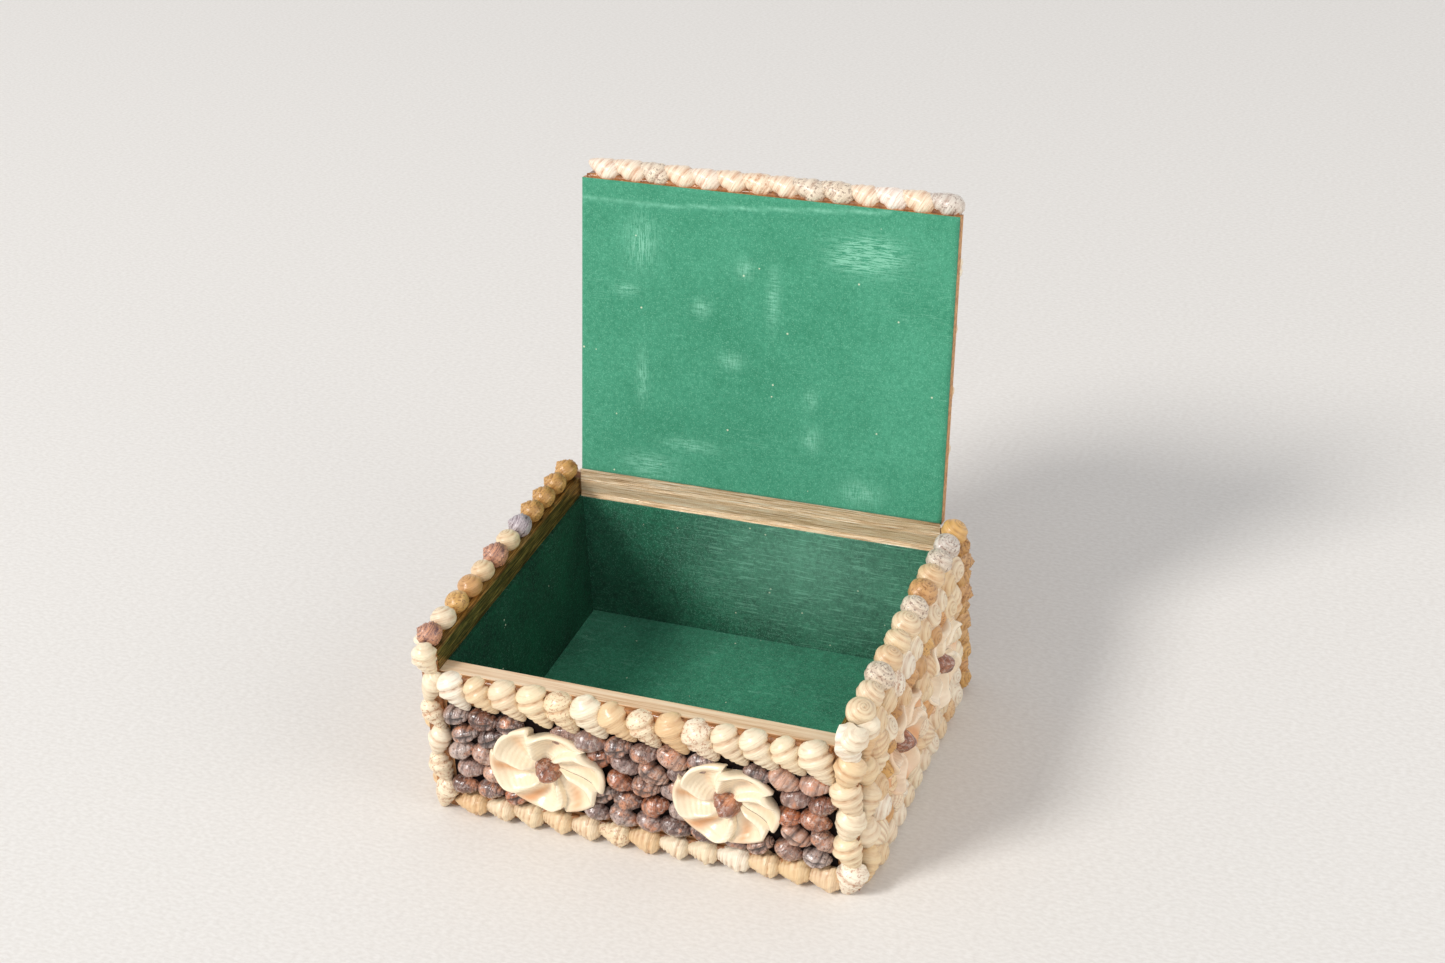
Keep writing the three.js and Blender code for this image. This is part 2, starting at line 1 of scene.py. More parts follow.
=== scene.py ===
"""The looks of a card keepsake box that is lined with green flock and covered with glued seashells.

Lengths are in millimetres until a mesh is made, which is in metres. Faces have their own axes:
x to the right as seen from outside, y up, and z out of the wall.
"""

import json
import math

import bpy
import numpy as np
from mathutils import Matrix, Vector


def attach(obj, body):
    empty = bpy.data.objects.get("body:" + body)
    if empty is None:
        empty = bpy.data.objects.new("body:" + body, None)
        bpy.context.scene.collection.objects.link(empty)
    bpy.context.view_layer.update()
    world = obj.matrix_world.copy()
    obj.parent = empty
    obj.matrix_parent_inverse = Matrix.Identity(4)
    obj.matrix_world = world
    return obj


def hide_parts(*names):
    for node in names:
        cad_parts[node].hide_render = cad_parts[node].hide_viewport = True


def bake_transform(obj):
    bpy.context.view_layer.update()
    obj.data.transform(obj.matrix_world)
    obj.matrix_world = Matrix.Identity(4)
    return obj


MM = 0.001
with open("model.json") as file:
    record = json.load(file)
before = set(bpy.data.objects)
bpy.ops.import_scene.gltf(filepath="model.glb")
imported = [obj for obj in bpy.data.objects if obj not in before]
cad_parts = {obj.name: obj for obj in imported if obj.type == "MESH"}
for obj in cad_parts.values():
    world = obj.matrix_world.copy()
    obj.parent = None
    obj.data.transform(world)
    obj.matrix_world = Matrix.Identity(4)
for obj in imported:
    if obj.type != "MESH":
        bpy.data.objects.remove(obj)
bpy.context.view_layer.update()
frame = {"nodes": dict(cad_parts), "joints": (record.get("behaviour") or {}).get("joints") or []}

# The hinge of the lid, from the frame
lid_hinge = frame["joints"][0]
HINGE = np.array(lid_hinge["pos_m"]) / MM
OPEN_ANGLE = math.radians(lid_hinge["range_deg"][1])

# Spacing of the shells in rows and columns, as in the frame's solids
WHELK_PITCH = 9.15
CERITH_PITCH = 10.9
BOTTOM_PITCH = 9.9
SNAIL_PITCH = 9.1
EDGE_PITCH = 9.2

# Fields of staggered rows, as in the solids. Every other row starts in by stagger times half a pitch.
# Rows spill over their ends and stop at a share of a rosette's radii; numbers are set aside for each row.
FIELDS = {
    "bean": dict(pitch=9.0, row_pitch=6.7, stagger=0.6, reach=0.5, spill=1.0, stop=0.93, numbers=31),
    "side": dict(pitch=8.6, row_pitch=8.6, stagger=0.5, reach=0.6, spill=0.0, stop=0.91, numbers=37),
    "cockle": dict(pitch=13.4, row_pitch=11.6, stagger=0.3, reach=0.25, spill=0.0, stop=1.03, numbers=41),
}

# Shells: length, width, height above the wall
WHELK = (15.6, 10.8, 6.0)
EDGE_WHELK = (13.8, 8.6, 5.2)
SIDE_WHELK = (12.4, 9.8, 5.6)
COLUMN_WHELK = (14.4, 10.2, 6.2)
SLIM_WHELK = (13.2, 7.8, 5.4)
CROWN_WHELK = (12.2, 9.4, 7.0)
SLIM_CROWN = (11.0, 7.4, 5.4)
BOTTOM_CERITH = (12.6, 8.8, 5.6)
BORDER_CERITH = (13.6, 10.6, 6.0)
BEAN = (10.2, 7.1, 5.2)
CENTRE_BEAN = (10.0, 8.0, 8.2)
COCKLE = (14.6, 13.6, 5.0)
SIDE_FAN = (10.5, 10.5, 5.4)
SNAIL_D = 10.1
SMALL_SNAIL_D = SNAIL_D - 1.6
RIM_SNAIL_D = {"right": 9.4, "left": 8.7}

# Small shells at a rosette's rim are lower, so that they tuck under its petals
TUCKED_HEIGHT = 2.6
TUCK_END = 1.13

# How far shells lie above the wall, and the rims' shells above and out of it
SHELL_SEAT = 1.1
ROW_LIFT = 1.6
SIDE_LIFT = 1.8
RIM_RISE = 2.4
RIM_OUT = 0.4
FLOOR_CLEARANCE = 0.1

GLUE_TOP = 1.2
THIN_GLUE = 0.6
GLUE_CELL = 1.4
GLUE_INSET = 1.0
FIELD_GLUE_INSET = 0.1
GLUE_FOOT = 0.02
GLUE_LUMPS = 0.45

# Properties that jitter gives each shell
SHIFT = 2
HEADING = 3
SIZE = 3.3
LEAN = 4
WIDTH = 4.1
COIL = 5
TURN = 6
TINT = 7
FLECKS = 8
RIM_HEADING = 9
RIM_LEAN = 11
SLIT = 12
CHOICE = 15
WARMTH = 16
KNOBS = 21

# Numbers set aside for each row or column, and where those of pairs, centres and crowns begin
ROW_NUMBERS = 100
PAIR_NUMBER = 50
CENTRE_NUMBER = 50
CROWN_NUMBER = 90


# Repeatable numbers and smooth steps

JITTER_SHELL = 12.9898
JITTER_PROPERTY = 78.233
JITTER_STRETCH = 43758.5453


def jitter(i, k):
    """A repeatable number from 0 to 1 for shell number i and its property k."""
    wave = math.sin(i * JITTER_SHELL + k * JITTER_PROPERTY) * JITTER_STRETCH
    return wave - math.floor(wave)


def sway(i, k, reach):
    """A repeatable number from -reach to reach."""
    return (2 * jitter(i, k) - 1) * reach


def smooth(low, high, value):
    """A step from 0 at low to 1 at high."""
    t = np.clip((value - low) / (high - low), 0, 1)
    return t * t * (3 - 2 * t)


def hill(value, centre, width):
    """1 at the centre, falling to 0 on both sides."""
    return np.exp(-(((value - centre) / width) ** 2))


OCTAVES = 4
OCTAVE_TURN = 2.4
OCTAVE_GROWTH = 1.9
OCTAVE_FADE = 1.5
FIRST_WAVE = 0.35
SEED_PHASE = 5.1
RIPPLE_PEAK = 1.7


def ripple(x, y, seed):
    """A smooth repeatable height from -1 to 1 over a plane."""
    total = np.zeros_like(x)
    for octave in range(OCTAVES):
        turn = OCTAVE_TURN * octave + seed
        scale = FIRST_WAVE * OCTAVE_GROWTH ** octave
        across = x * math.cos(turn) + y * math.sin(turn)
        total += np.sin(scale * across + SEED_PHASE * seed + octave) / (octave + OCTAVE_FADE)
    return total / RIPPLE_PEAK


# Meshes built from grids of points

def bordered(low, high, count, margin=0.0):
    """Even steps from low to high, with one more point at each end, where the side goes down."""
    return np.concatenate([[low], np.linspace(low + margin, high - margin, count), [high]])


def edges(grid):
    """True at the four edges of a grid."""
    edge = np.zeros_like(grid, bool)
    edge[0], edge[-1], edge[:, 0], edge[:, -1] = True, True, True, True
    return edge


def add_object(name, data):
    made = bpy.data.objects.new(name, data)
    bpy.context.scene.collection.objects.link(made)
    return made


class Build:
    """Collects grids of points into one mesh, with what the materials read at each point."""

    def __init__(self):
        self.points, self.faces, self.slots, self.shell, self.kind = [], [], [], [], []
        self.count = 0

    def grid(self, points, shell, kind, slot=0):
        """points is rows x columns x 3; shell and kind are rows x columns x 3 or one triple."""
        rows, columns = points.shape[:2]
        index = np.arange(rows * columns).reshape(rows, columns) + self.count
        ends = [index[:-1, :-1], index[1:, :-1], index[1:, 1:], index[:-1, 1:]]
        quads = np.stack(ends, -1).reshape(-1, len(ends))
        self.points.append(points.reshape(-1, 3))
        self.shell.append(np.broadcast_to(shell, points.shape).reshape(-1, 3))
        self.kind.append(np.broadcast_to(kind, points.shape).reshape(-1, 3))
        self.faces.append(quads)
        self.slots.append(np.full(len(quads), slot))
        self.count += rows * columns

    def mesh(self, name, materials):
        points = np.concatenate(self.points) * MM
        quads = np.concatenate(self.faces)
        mesh = bpy.data.meshes.new(name)
        mesh.vertices.add(len(points))
        mesh.vertices.foreach_set("co", points.ravel())
        mesh.loops.add(quads.size)
        mesh.loops.foreach_set("vertex_index", quads.ravel())
        mesh.polygons.add(len(quads))
        mesh.polygons.foreach_set("loop_start", np.arange(0, quads.size, 4))
        mesh.polygons.foreach_set("material_index", np.concatenate(self.slots))
        mesh.polygons.foreach_set("use_smooth", np.ones(len(quads), bool))
        for label, values in (("shell", self.shell), ("kind", self.kind)):
            attribute = mesh.attributes.new(label, "FLOAT_VECTOR", "POINT")
            attribute.data.foreach_set("vector", np.concatenate(values).astype(np.float32).ravel())
        for material in materials:
            mesh.materials.append(material)
        mesh.update(calc_edges=True)
        mesh.validate()
        return add_object(name, mesh)


def turned(points, angle, at, lift=0.0):
    """Points turned about z by angle and moved to a place on the face."""
    x, y, z = points[..., 0], points[..., 1], points[..., 2]
    c, s = math.cos(angle), math.sin(angle)
    return np.stack([at[0] + c * x - s * y, at[1] + s * x + c * y, z + lift], -1)


def tipped(points, lean, heading):
    """Points leaned away from upright by lean, towards heading."""
    axis = Vector((-math.sin(heading), math.cos(heading), 0))
    matrix = np.array(Matrix.Rotation(lean, 3, axis))
    return points @ matrix.T


# Forms of shell. Each adds one shell to a build, in face axes.

SHAPES = {
    # how the spire widens, where it is widest, ratio of one whorl to the next, depth of the grooves,
    # number of ribs, their height, and the height of knobs
    "whelk": (0.6, 0.62, 0.66, 0.27, 13, 0.02, 0.04),
    "banded": (0.6, 0.6, 0.6, 0.15, 0, 0.0, 0.02),
    "cerith": (0.64, 0.68, 0.74, 0.2, 9, 0.06, 0.04),
    "bean": (0.46, 0.5, 0.42, 0.1, 5, 0.03, 0.13),
}
FULL_TURN = 2 * math.pi

# Marks of form in the third part of kind, which the materials read
PLAIN_MARK = 0.0
BEADED_MARK = 0.5
FAN_MARK = 0.8
SLIT_MARK = 1.0


def kind_of(number, mark, pick=None):
    """What a material reads of a shell: its tint, its share of flecks and its form."""
    return (jitter(number, TINT) if pick is None else pick, jitter(number, FLECKS), mark)


# Points along the spire, along the mouth and round the shell
FINE_CELLS = (22, 11, 21)
PLAIN_CELLS = (11, 6, 11)

# Degrees that a lying shell reaches below level
FLAT_UNDER = 28
LEANING_UNDER = 70

LYING_TIP = 0.03
LYING_CENTRE = 0.02
LEAN_RAISE = 0.8
MOUTH_POWER = 2.2
WHORL_POWER = 0.55
GROOVE_FADE = 0.7
KNOB_WAVES = (9, 2.2)
KNOB_SEEDS = 6
RIB_TWIST = 3
SLIT_ANGLE = math.radians(96)
SLIT_WIDTH = 0.2
SLIT_DEPTH = 0.5
LIP_ANGLE = 0.42
LIP_WIDTH = 0.17
LIP_HEIGHT = 0.07


def lying_shell(build, shape, size, at, angle, number, fine=True, slot=0, slit=False, lean=0.0, pick=None):
    """A spiral shell that lies on its side, its tip towards angle and raised by lean.

    d runs from 0 at the tip to 1 at the mouth, and p is the angle round the shell.
    """
    rise, shoulder, ratio, groove, ribs, rib, knob = SHAPES[shape]
    length, width, height = size
    grow = 1 + sway(number, SIZE, 0.07)
    length, width = length * grow, width * grow * (1 + sway(number, WIDTH, 0.05))
    steps, mouth_steps, around = FINE_CELLS if fine else PLAIN_CELLS
    spire = np.geomspace(LYING_TIP, shoulder, steps)
    body = np.linspace(shoulder, 1, mouth_steps)[1:]
    under = FLAT_UNDER if lean == 0 else LEANING_UNDER
    phi = np.radians(np.linspace(-under, 180 + under, around))
    d, p = np.meshgrid(np.concatenate([[0.0], spire, body]), phi, indexing="ij")

    # the spire widens up to the shoulder, and the mouth rounds off behind it
    past = np.clip((d - shoulder) / (1 - shoulder), 0, 1)
    mouth = np.sqrt(np.clip(1 - past ** MOUTH_POWER, 0, 1))
    radius = np.where(d < shoulder, (d / shoulder) ** rise, mouth)

    # whorls with grooves between them, ribs and knobs
    turns = np.log(np.maximum(d, LYING_CENTRE)) / math.log(ratio)
    whorl = turns + p / FULL_TURN + jitter(number, COIL)
    bulge = np.abs(np.sin(math.pi * whorl)) ** WHORL_POWER
    fade = 1 - GROOVE_FADE * smooth(0.68, 0.97, d)
    # painted shade in the grooves between whorls, weaker towards the mouth
    painted_shade = (1 - bulge) * fade
    radius = radius * (1 - groove * (1 - bulge) * fade)
    radius = radius * (1 + rib * np.cos(ribs * p + RIB_TWIST * whorl))
    knobs = ripple(KNOB_WAVES[0] * d + number, KNOB_WAVES[1] * p, jitter(number, KNOBS) * KNOB_SEEDS)
    radius = radius * (1 + knob * knobs)
    if slit:
        line = hill(p, SLIT_ANGLE, SLIT_WIDTH) * smooth(0.12, 0.3, d) * (1 - smooth(0.8, 0.96, d))
        lips = hill(np.abs(p - SLIT_ANGLE), LIP_ANGLE, LIP_WIDTH) * smooth(0.1, 0.3, d)
        radius = radius * (1 - SLIT_DEPTH * line + LIP_HEIGHT * lips * (1 - smooth(0.85, 1, d)))
        # painted shade along the slit
        painted_shade = np.maximum(painted_shade, line)

    x = (0.5 - d) * length
    y = radius * np.cos(p) * width / 2
    z = radius * np.sin(p) * (height - SHELL_SEAT)
    c, s = math.cos(lean), math.sin(lean)
    points = np.stack([x * c - z * s, y, z * c + (x + length / 2) * s * LEAN_RAISE], -1)
    kind = kind_of(number, SLIT_MARK if slit else PLAIN_MARK, pick)
    build.grid(turned(points, angle, at, SHELL_SEAT), np.stack([whorl, d, painted_shade], -1), kind, slot)


ROUND_TIP = 0.06
ROUND_CENTRE = 0.03
ROUND_CELLS = (18, 29)
CELLS_A_BEAD = 4
ROUND_RATIO = 0.52
ROUND_REACH = math.radians(158)
ROUND_TALL = 0.86
PLAIN_GROOVE = 0.11
BEADED_GROOVE = 0.14
BEAD_HEIGHT = 0.09
BEAD_ROWS = 11
CONE_PULL = 0.16


def round_shell(build, diameter, at, number, lift, lean, heading, beads=0, slot=0, pick=None, spire=1.0):
    """A snail, or a top shell with beads, seen from its spire and leaned towards heading.

    d runs from 0 at the spire to 1 at the underside, and p is the angle round it.
    """
    steps, around = ROUND_CELLS
    if beads:
        around = CELLS_A_BEAD * beads + 1
    diameter = diameter * (1 + sway(number, SIZE, 0.06))
    distance = np.concatenate([[0.0], np.geomspace(ROUND_TIP, 1, steps)])
    d, p = np.meshgrid(distance, np.linspace(0, FULL_TURN, around), indexing="ij")
    whorl = np.log(np.maximum(d, ROUND_CENTRE)) / math.log(ROUND_RATIO) + p / FULL_TURN
    bulge = np.abs(np.sin(math.pi * whorl)) ** 0.5
    polar = d * ROUND_REACH
    radius = np.sin(polar)
    height = np.cos(polar) * ROUND_TALL
    if beads:
        cone = smooth(1.9, 0.9, polar)
        radius = radius * (1 - CONE_PULL * cone)
        height = height * (1 - cone) + (1.02 + 0.2 * spire - (0.45 + 0.3 * spire) * polar) * cone
        bead = BEAD_HEIGHT * np.cos(beads * p) * np.cos(BEAD_ROWS * polar) * smooth(0.12, 0.3, d)
        radius = radius * (1 + bead)
        height = height * (1 + 0.5 * bead)
    groove = (BEADED_GROOVE if beads else PLAIN_GROOVE) * (1 - smooth(0.6, 0.85, d))
    radius = radius * (1 - groove * (1 - bulge))
    height = height - groove * (1 - bulge) * 0.6
    wobble = 1 + 0.02 * ripple(6 * np.cos(p), 6 * np.sin(p) + number, 1.0)
    points = np.stack([radius * np.cos(p) * wobble, radius * np.sin(p), height], -1) * diameter / 2
    # painted shade in the grooves of the spire, fading towards the underside
    painted_shade = (1 - bulge) * (1 - smooth(0.55, 0.85, d))
    kind = kind_of(number, BEADED_MARK if beads else PLAIN_MARK, pick)
    points = turned(tipped(points, lean, heading), 0, at, lift)
    build.grid(points, np.stack([whorl, d, painted_shade], -1), kind, slot)


FAN_HALF_ANGLE = math.radians(76)
FAN_CELLS = 9
FAN_HINGE = 0.04
FAN_RIBS = 13
SIDE_FAN_RIBS = 9
FAN_SEAT = 0.4
FAN_LIP = 1.3
FAN_WIDTH = 0.62
FAN_SPREAD = 1.25


def fan_shell(build, size, at, angle, number, ribs=FAN_RIBS):
    """A ribbed cockle half, its hinge end towards angle. u runs out from the hinge, v from side to side."""
    length, width, height = size
    u, v = np.meshgrid(np.linspace(FAN_HINGE, 1, FAN_CELLS), np.linspace(-1, 1, 4 * ribs + 1), indexing="ij")
    spread = v * FAN_HALF_ANGLE
    reach = u * (1 - 0.16 * np.abs(v) ** 3)
    rib = 0.5 + 0.5 * np.cos(ribs * math.pi * v)
    dome = np.sqrt(np.clip(1 - (2 * u - 0.85) ** 2 / 1.4, 0, 1)) * (1 - 0.55 * v ** 2)
    points = np.stack([
        length * (0.5 - reach * np.cos(spread)),
        width * FAN_WIDTH * reach * np.sin(spread) / math.sin(FAN_HALF_ANGLE) * FAN_SPREAD,
        height * np.clip(dome, 0, 1) * (1 + 0.08 * rib) - FAN_LIP * smooth(0.86, 1, u) + FAN_SEAT,
    ], -1)
    # the third value is painted shade between the ribs
    shell = np.stack([2.5 * u + 0 * v, u, 0.5 * (1 - rib)], -1)
    build.grid(turned(points, angle, at)[:, ::-1], shell[:, ::-1], kind_of(number, FAN_MARK))


# Faces of the box, and the regions that the frame's solids take on them

class Face:
    """A face's origin, and its axes to the right, up and out of the wall."""

    def __init__(self, origin, right, up, body="box"):
        self.origin = np.array(origin, float)
        self.axes = np.array([right, up, np.cross(right, up)], float)
        self.body = body

    def world(self, points):
        """Face points in the frame at rest, kept off the floor and on the lid between the rims."""
        made = self.origin + points @ self.axes
        if self.body == "lid":
            made[..., 0] = np.clip(made[..., 0], -LID_REACH, LID_REACH)
            return opened(made)
        made[..., 2] = np.maximum(made[..., 2], FLOOR_CLEARANCE)
        return made

    def region(self, node):
        """Left, right, low and high of a node on this face."""
        x, y = self.axes[:2] @ (node_points(node, self.body) - self.origin).T
        return x.min(), x.max(), y.min(), y.max()


def opened(points, angle=-OPEN_ANGLE):
    """Points of the closed lid as they are at rest, open; OPEN_ANGLE closes it again."""
    return (points - HINGE) @ np.array(Matrix.Rotation(angle, 3, "X")).T + HINGE


def node_points(node, body):
    """A node's points in millimetres, with the lid closed."""
    vertices = frame["nodes"][node].data.vertices
    points = np.empty(len(vertices) * 3)
    vertices.foreach_get("co", points)
    points = points.reshape(-1, 3) / MM
    return opened(points, OPEN_ANGLE) if body == "lid" else points


def corners(node, body="box"):
    """A node's lowest and highest corners, with the lid closed."""
    points = node_points(node, body)
    return points.min(0), points.max(0)


front_low = corners("front_wall")[0]
side_high = corners("right_wall")[1]
lid_low, lid_high = corners("lid_board", "lid")
foil_low, foil_high = corners("right_rim_foil")
RIM_TOP = foil_high[2]
LEDGE_Z = foil_low[2]
FACE_TOP = side_high[2] - 1.5

# Shells end here across the box, so that the lid closes between the rims and the crowns of the front columns
LID_REACH = lid_high[0] + 0.2
COLUMN_REACH = foil_low[0] + 0.3
CROWN_SHIFT = 1.2
CROWN_DROP = 3.4

FACES = {
    "front": Face((0, front_low[1], 0), (1, 0, 0), (0, 0, 1)),
    "back": Face((0, -front_low[1], 0), (-1, 0, 0), (0, 0, 1)),
    "right": Face((side_high[0], 0, 0), (0, 1, 0), (0, 0, 1)),
    "left": Face((-side_high[0], 0, 0), (0, -1, 0), (0, 0, 1)),
    "lid": Face((0, (lid_low[1] + lid_high[1]) / 2, lid_high[2]), (1, 0, 0), (0, 1, 0), "lid"),
    "lip": Face((0, lid_low[1], 0), (1, 0, 0), (0, 0, 1), "lid"),
}


def face_of(node):
    """The face that a node's name begins with; the lid's free edge has its own."""
    return FACES["lip" if node == "lid_edge_row" else node.split("_")[0]]


def places(start, end, pitch, seed, reach=0.25):
    """Places of shells in a row, the same as the solids have."""
    count = max(1, round((end - start) / pitch))
    step = (end - start) / count
    return [start + (i + 0.5) * step + sway(i, seed, reach) for i in range(count)]


def glue_bed(build, region, slot, top=GLUE_TOP, seed=1.0, inset=GLUE_INSET):
    """The lumpy glue that shells sit in, with its sides down to the wall."""
    left, right, low, high = region[0] + inset, region[1] - inset, region[2] + inset, region[3] - inset
    xs = bordered(left, right, max(3, round((right - left) / GLUE_CELL)) + 1)
    ys = bordered(low, high, max(3, round((high - low) / GLUE_CELL)) + 1)
    x, y = np.meshgrid(xs, ys, indexing="ij")
    z = top * (1 + GLUE_LUMPS * ripple(x, y, seed))
    z = np.where(edges(z), GLUE_FOOT, z)
    shell = np.stack([0 * x, 0.5 + 0.5 * ripple(x, y, seed + 3), 0 * x], -1)
    build.grid(np.stack([x, y, z], -1), shell, (jitter(seed, 1), 0.5, PLAIN_MARK), slot)


# Nodes of the shader graphs

class Graph:
    """A material's node tree, with short calls for the nodes used here."""

    def __init__(self, name):
        self.material = bpy.data.materials.new(name)
        self.material.use_nodes = True
        self.tree = self.material.node_tree
        self.tree.nodes.clear()
        self.shader = self.node("BsdfPrincipled")
        self.node("OutputMaterial", {0: self.shader.outputs[0]})

    def node(self, kind, inputs=None, **settings):
        made = self.tree.nodes.new("ShaderNode" + kind)
        for key, value in settings.items():
            setattr(made, key, value)
        for key, value in (inputs or {}).items():
            self.feed(made.inputs[key], value)
        return made

    def feed(self, socket, value):
        if isinstance(value, bpy.types.NodeSocket):
            self.tree.links.new(value, socket)
        else:
            socket.default_value = value

    def math(self, operation, *values, clamp=False):
        made = self.node("Math", dict(enumerate(values)), operation=operation, use_clamp=clamp)
        return made.outputs[0]

    def vector_math(self, operation, *values, output=0):
        return self.node("VectorMath", dict(enumerate(values)), operation=operation).outputs[output]

    def mix(self, amount, first, second):
        made = self.node("Mix", {0: amount, 6: first, 7: second}, data_type="RGBA")
        return made.outputs[2]

    def times(self, first, second, clamp=False):
        return self.math("MULTIPLY", first, second, clamp=clamp)

    def above(self, value, start, gain):
        """0 up to start, then rising by gain to 1."""
        return self.times(self.math("SUBTRACT", value, start, clamp=True), gain, clamp=True)

    def ramp(self, value, stops):
        made = self.node("ValToRGB", {0: value})
        ramp = made.color_ramp
        while len(ramp.elements) < len(stops):
            ramp.elements.new(0.5)
        for element, (place, color) in zip(ramp.elements, stops):
            element.position = place
            element.color = color
        return made.outputs[0]

    def coordinates(self, scale=(1, 1, 1)):
        source = self.node("TexCoord")
        mapping = self.node("Mapping", {0: source.outputs["Object"], 3: scale})
        return mapping.outputs[0]

    def noise(self, vector, scale, detail=3.0, rough=0.55):
        inputs = {"Vector": vector, "Scale": scale, "Detail": detail, "Roughness": rough}
        return self.node("TexNoise", inputs).outputs[0]

    def attribute(self, name):
        made = self.node("Attribute", attribute_name=name)
        return self.node("SeparateXYZ", {0: made.outputs["Vector"]}).outputs

    def streaks(self, stretch, share):
        """Lines and scratches: noise stretched by the three scales, where it passes share."""
        return self.math("GREATER_THAN", self.noise(self.coordinates(stretch), 1.0, 3.0, 0.7), share)

    def bump(self, height, strength, distance):
        inputs = {"Height": height, "Strength": strength, "Distance": distance}
        return self.node("Bump", inputs).outputs[0]

    def finish(self, color, roughness, normal=None, **constants):
        self.feed(self.shader.inputs["Base Color"], color)
        self.feed(self.shader.inputs["Roughness"], roughness)
        if normal is not None:
            self.feed(self.shader.inputs["Normal"], normal)
        for key, value in constants.items():
            self.shader.inputs[key.replace("_", " ")].default_value = value
        return self.material


def srgb(*color):
    """A colour given in display values from 0 to 255, as linear light."""
    shares = [value / 255 for value in color]
    return (*(s / 12.92 if s <= 0.04045 else ((s + 0.055) / 1.055) ** 2.4 for s in shares), 1.0)


# Shell materials

BROAD_SCALE = 150.0
FINE_SCALE = 1100.0
PATCH_SCALE = 190.0
SPECK_AND_GLINT_SCALE = 700.0
BAND_SCALE = 9.0
GROWTH_LINES = 5
SPECK_AND_GLINT_COLOR = srgb(236, 224, 216)


def shell_material(name, tints, band_and_shade, fleck_and_shade, bands, fleck_share, roughness=0.36, coat=0.3, patch=None,
                   specks_and_glints=0.0):
    """tints are the colours of different shells, chosen by each shell's own number."""
    g = Graph(name)
    band_and_shade, fleck_and_shade = srgb(*band_and_shade), srgb(*fleck_and_shade)
    # the shell's third value is painted shade in grooves, slits, between ribs and in the rosettes' hollows,
    # where it also carries their amber tint
    whorl, along, painted_shade = g.attribute("shell")
    pick, second, slit = g.attribute("kind")
    last = len(tints) - 1
    base = g.ramp(pick, [(i / last, srgb(*tint)) for i, tint in enumerate(tints)])
    vector = g.coordinates()
    broad = g.noise(vector, BROAD_SCALE)
    fine = g.noise(vector, FINE_SCALE, 4.0, 0.65)
    if patch:
        base = g.mix(g.above(g.noise(vector, PATCH_SCALE, 3.0, 0.6), 0.53, 9.0), base, srgb(*patch))

    # spiral bands follow the whorl
    turns = g.node("CombineXYZ", {0: whorl, 1: g.times(along, 2.0), 2: pick}).outputs[0]
    band = g.above(g.noise(turns, BAND_SCALE, 3.0, 0.6), 0.5, 8.0 * bands)
    base = g.mix(g.times(band, bands), base, band_and_shade)

    # flecks on some shells, pale specks that are partly painted glints, painted shade in the grooves, and
    # deeper painted shade on slit, fan and beaded shells
    chosen = g.math("GREATER_THAN", second, 1 - fleck_share)
    base = g.mix(g.times(g.math("GREATER_THAN", fine, 0.57), g.times(chosen, 0.6)), base, fleck_and_shade)
    # pale specks, partly the shell's own speckling and partly painted glints
    if specks_and_glints:
        pale_specks_and_glints = g.math("GREATER_THAN", g.noise(vector, SPECK_AND_GLINT_SCALE, 3.0, 0.7), 0.55)
        base = g.mix(g.times(pale_specks_and_glints, specks_and_glints), base, SPECK_AND_GLINT_COLOR)
    groove = g.math("POWER", g.math("MINIMUM", painted_shade, 1.0), 1.5)
    base = g.mix(g.times(groove, 0.8), base, band_and_shade)
    base = g.mix(g.times(broad, 0.22), base, band_and_shade)
    base = g.mix(g.times(slit, groove, clamp=True), base, fleck_and_shade)

    lines = g.math("SINE", g.times(whorl, FULL_TURN * GROWTH_LINES))
    height = g.math("ADD", g.times(lines, 0.3), fine)
    return g.finish(base, roughness, g.bump(height, 0.4, 0.0003), Coat_Weight=coat, Coat_Roughness=0.18)


cream = shell_material(
    "cream_finish",
    [(250, 240, 212), (238, 211, 164), (255, 249, 230), (246, 228, 190), (232, 198, 150), (252, 242, 214)],
    band_and_shade=(182, 114, 58), fleck_and_shade=(170, 100, 62), bands=0.42, fleck_share=0.16)
banded = shell_material(
    "banded_finish", [(255, 248, 234), (248, 230, 200), (255, 250, 240)],
    band_and_shade=(196, 122, 66), fleck_and_shade=(196, 136, 90), roughness=0.34, coat=0.4, bands=0.6, fleck_share=0.15)
speckled = shell_material(
    "speckled_finish", [(224, 218, 208), (240, 224, 198), (246, 232, 208)],
    band_and_shade=(138, 80, 48), fleck_and_shade=(92, 52, 38), bands=0.45, fleck_share=1.0)
brown = shell_material(
    "brown_finish",
    [(206, 182, 170), (136, 106, 98), (222, 172, 144), (176, 146, 136), (104, 78, 70), (206, 124, 80)],
    band_and_shade=(64, 40, 34), fleck_and_shade=(36, 22, 20), roughness=0.24, coat=0.6, bands=0.55, fleck_share=0.7,
    patch=(214, 148, 112), specks_and_glints=0.3)
golden = shell_material(
    "golden_finish", [(224, 166, 102), (216, 170, 114), (234, 186, 108), (188, 134, 78)],
    band_and_shade=(142, 88, 40), fleck_and_shade=(124, 72, 36), coat=0.35, bands=0.45, fleck_share=0.6)
top_shell = shell_material(
    "top_finish", [(214, 202, 204), (236, 208, 186), (230, 168, 130)],
    band_and_shade=(96, 66, 76), fleck_and_shade=(84, 60, 70), roughness=0.34, coat=0.4, bands=0.9, fleck_share=0.4)
petal = shell_material(
    "petal_finish", [(254, 246, 224), (250, 238, 208)],
    band_and_shade=(214, 138, 66), fleck_and_shade=(206, 150, 96), roughness=0.26, coat=0.6, bands=0.1, fleck_share=0.0)

GLUE_SCALE = 420.0


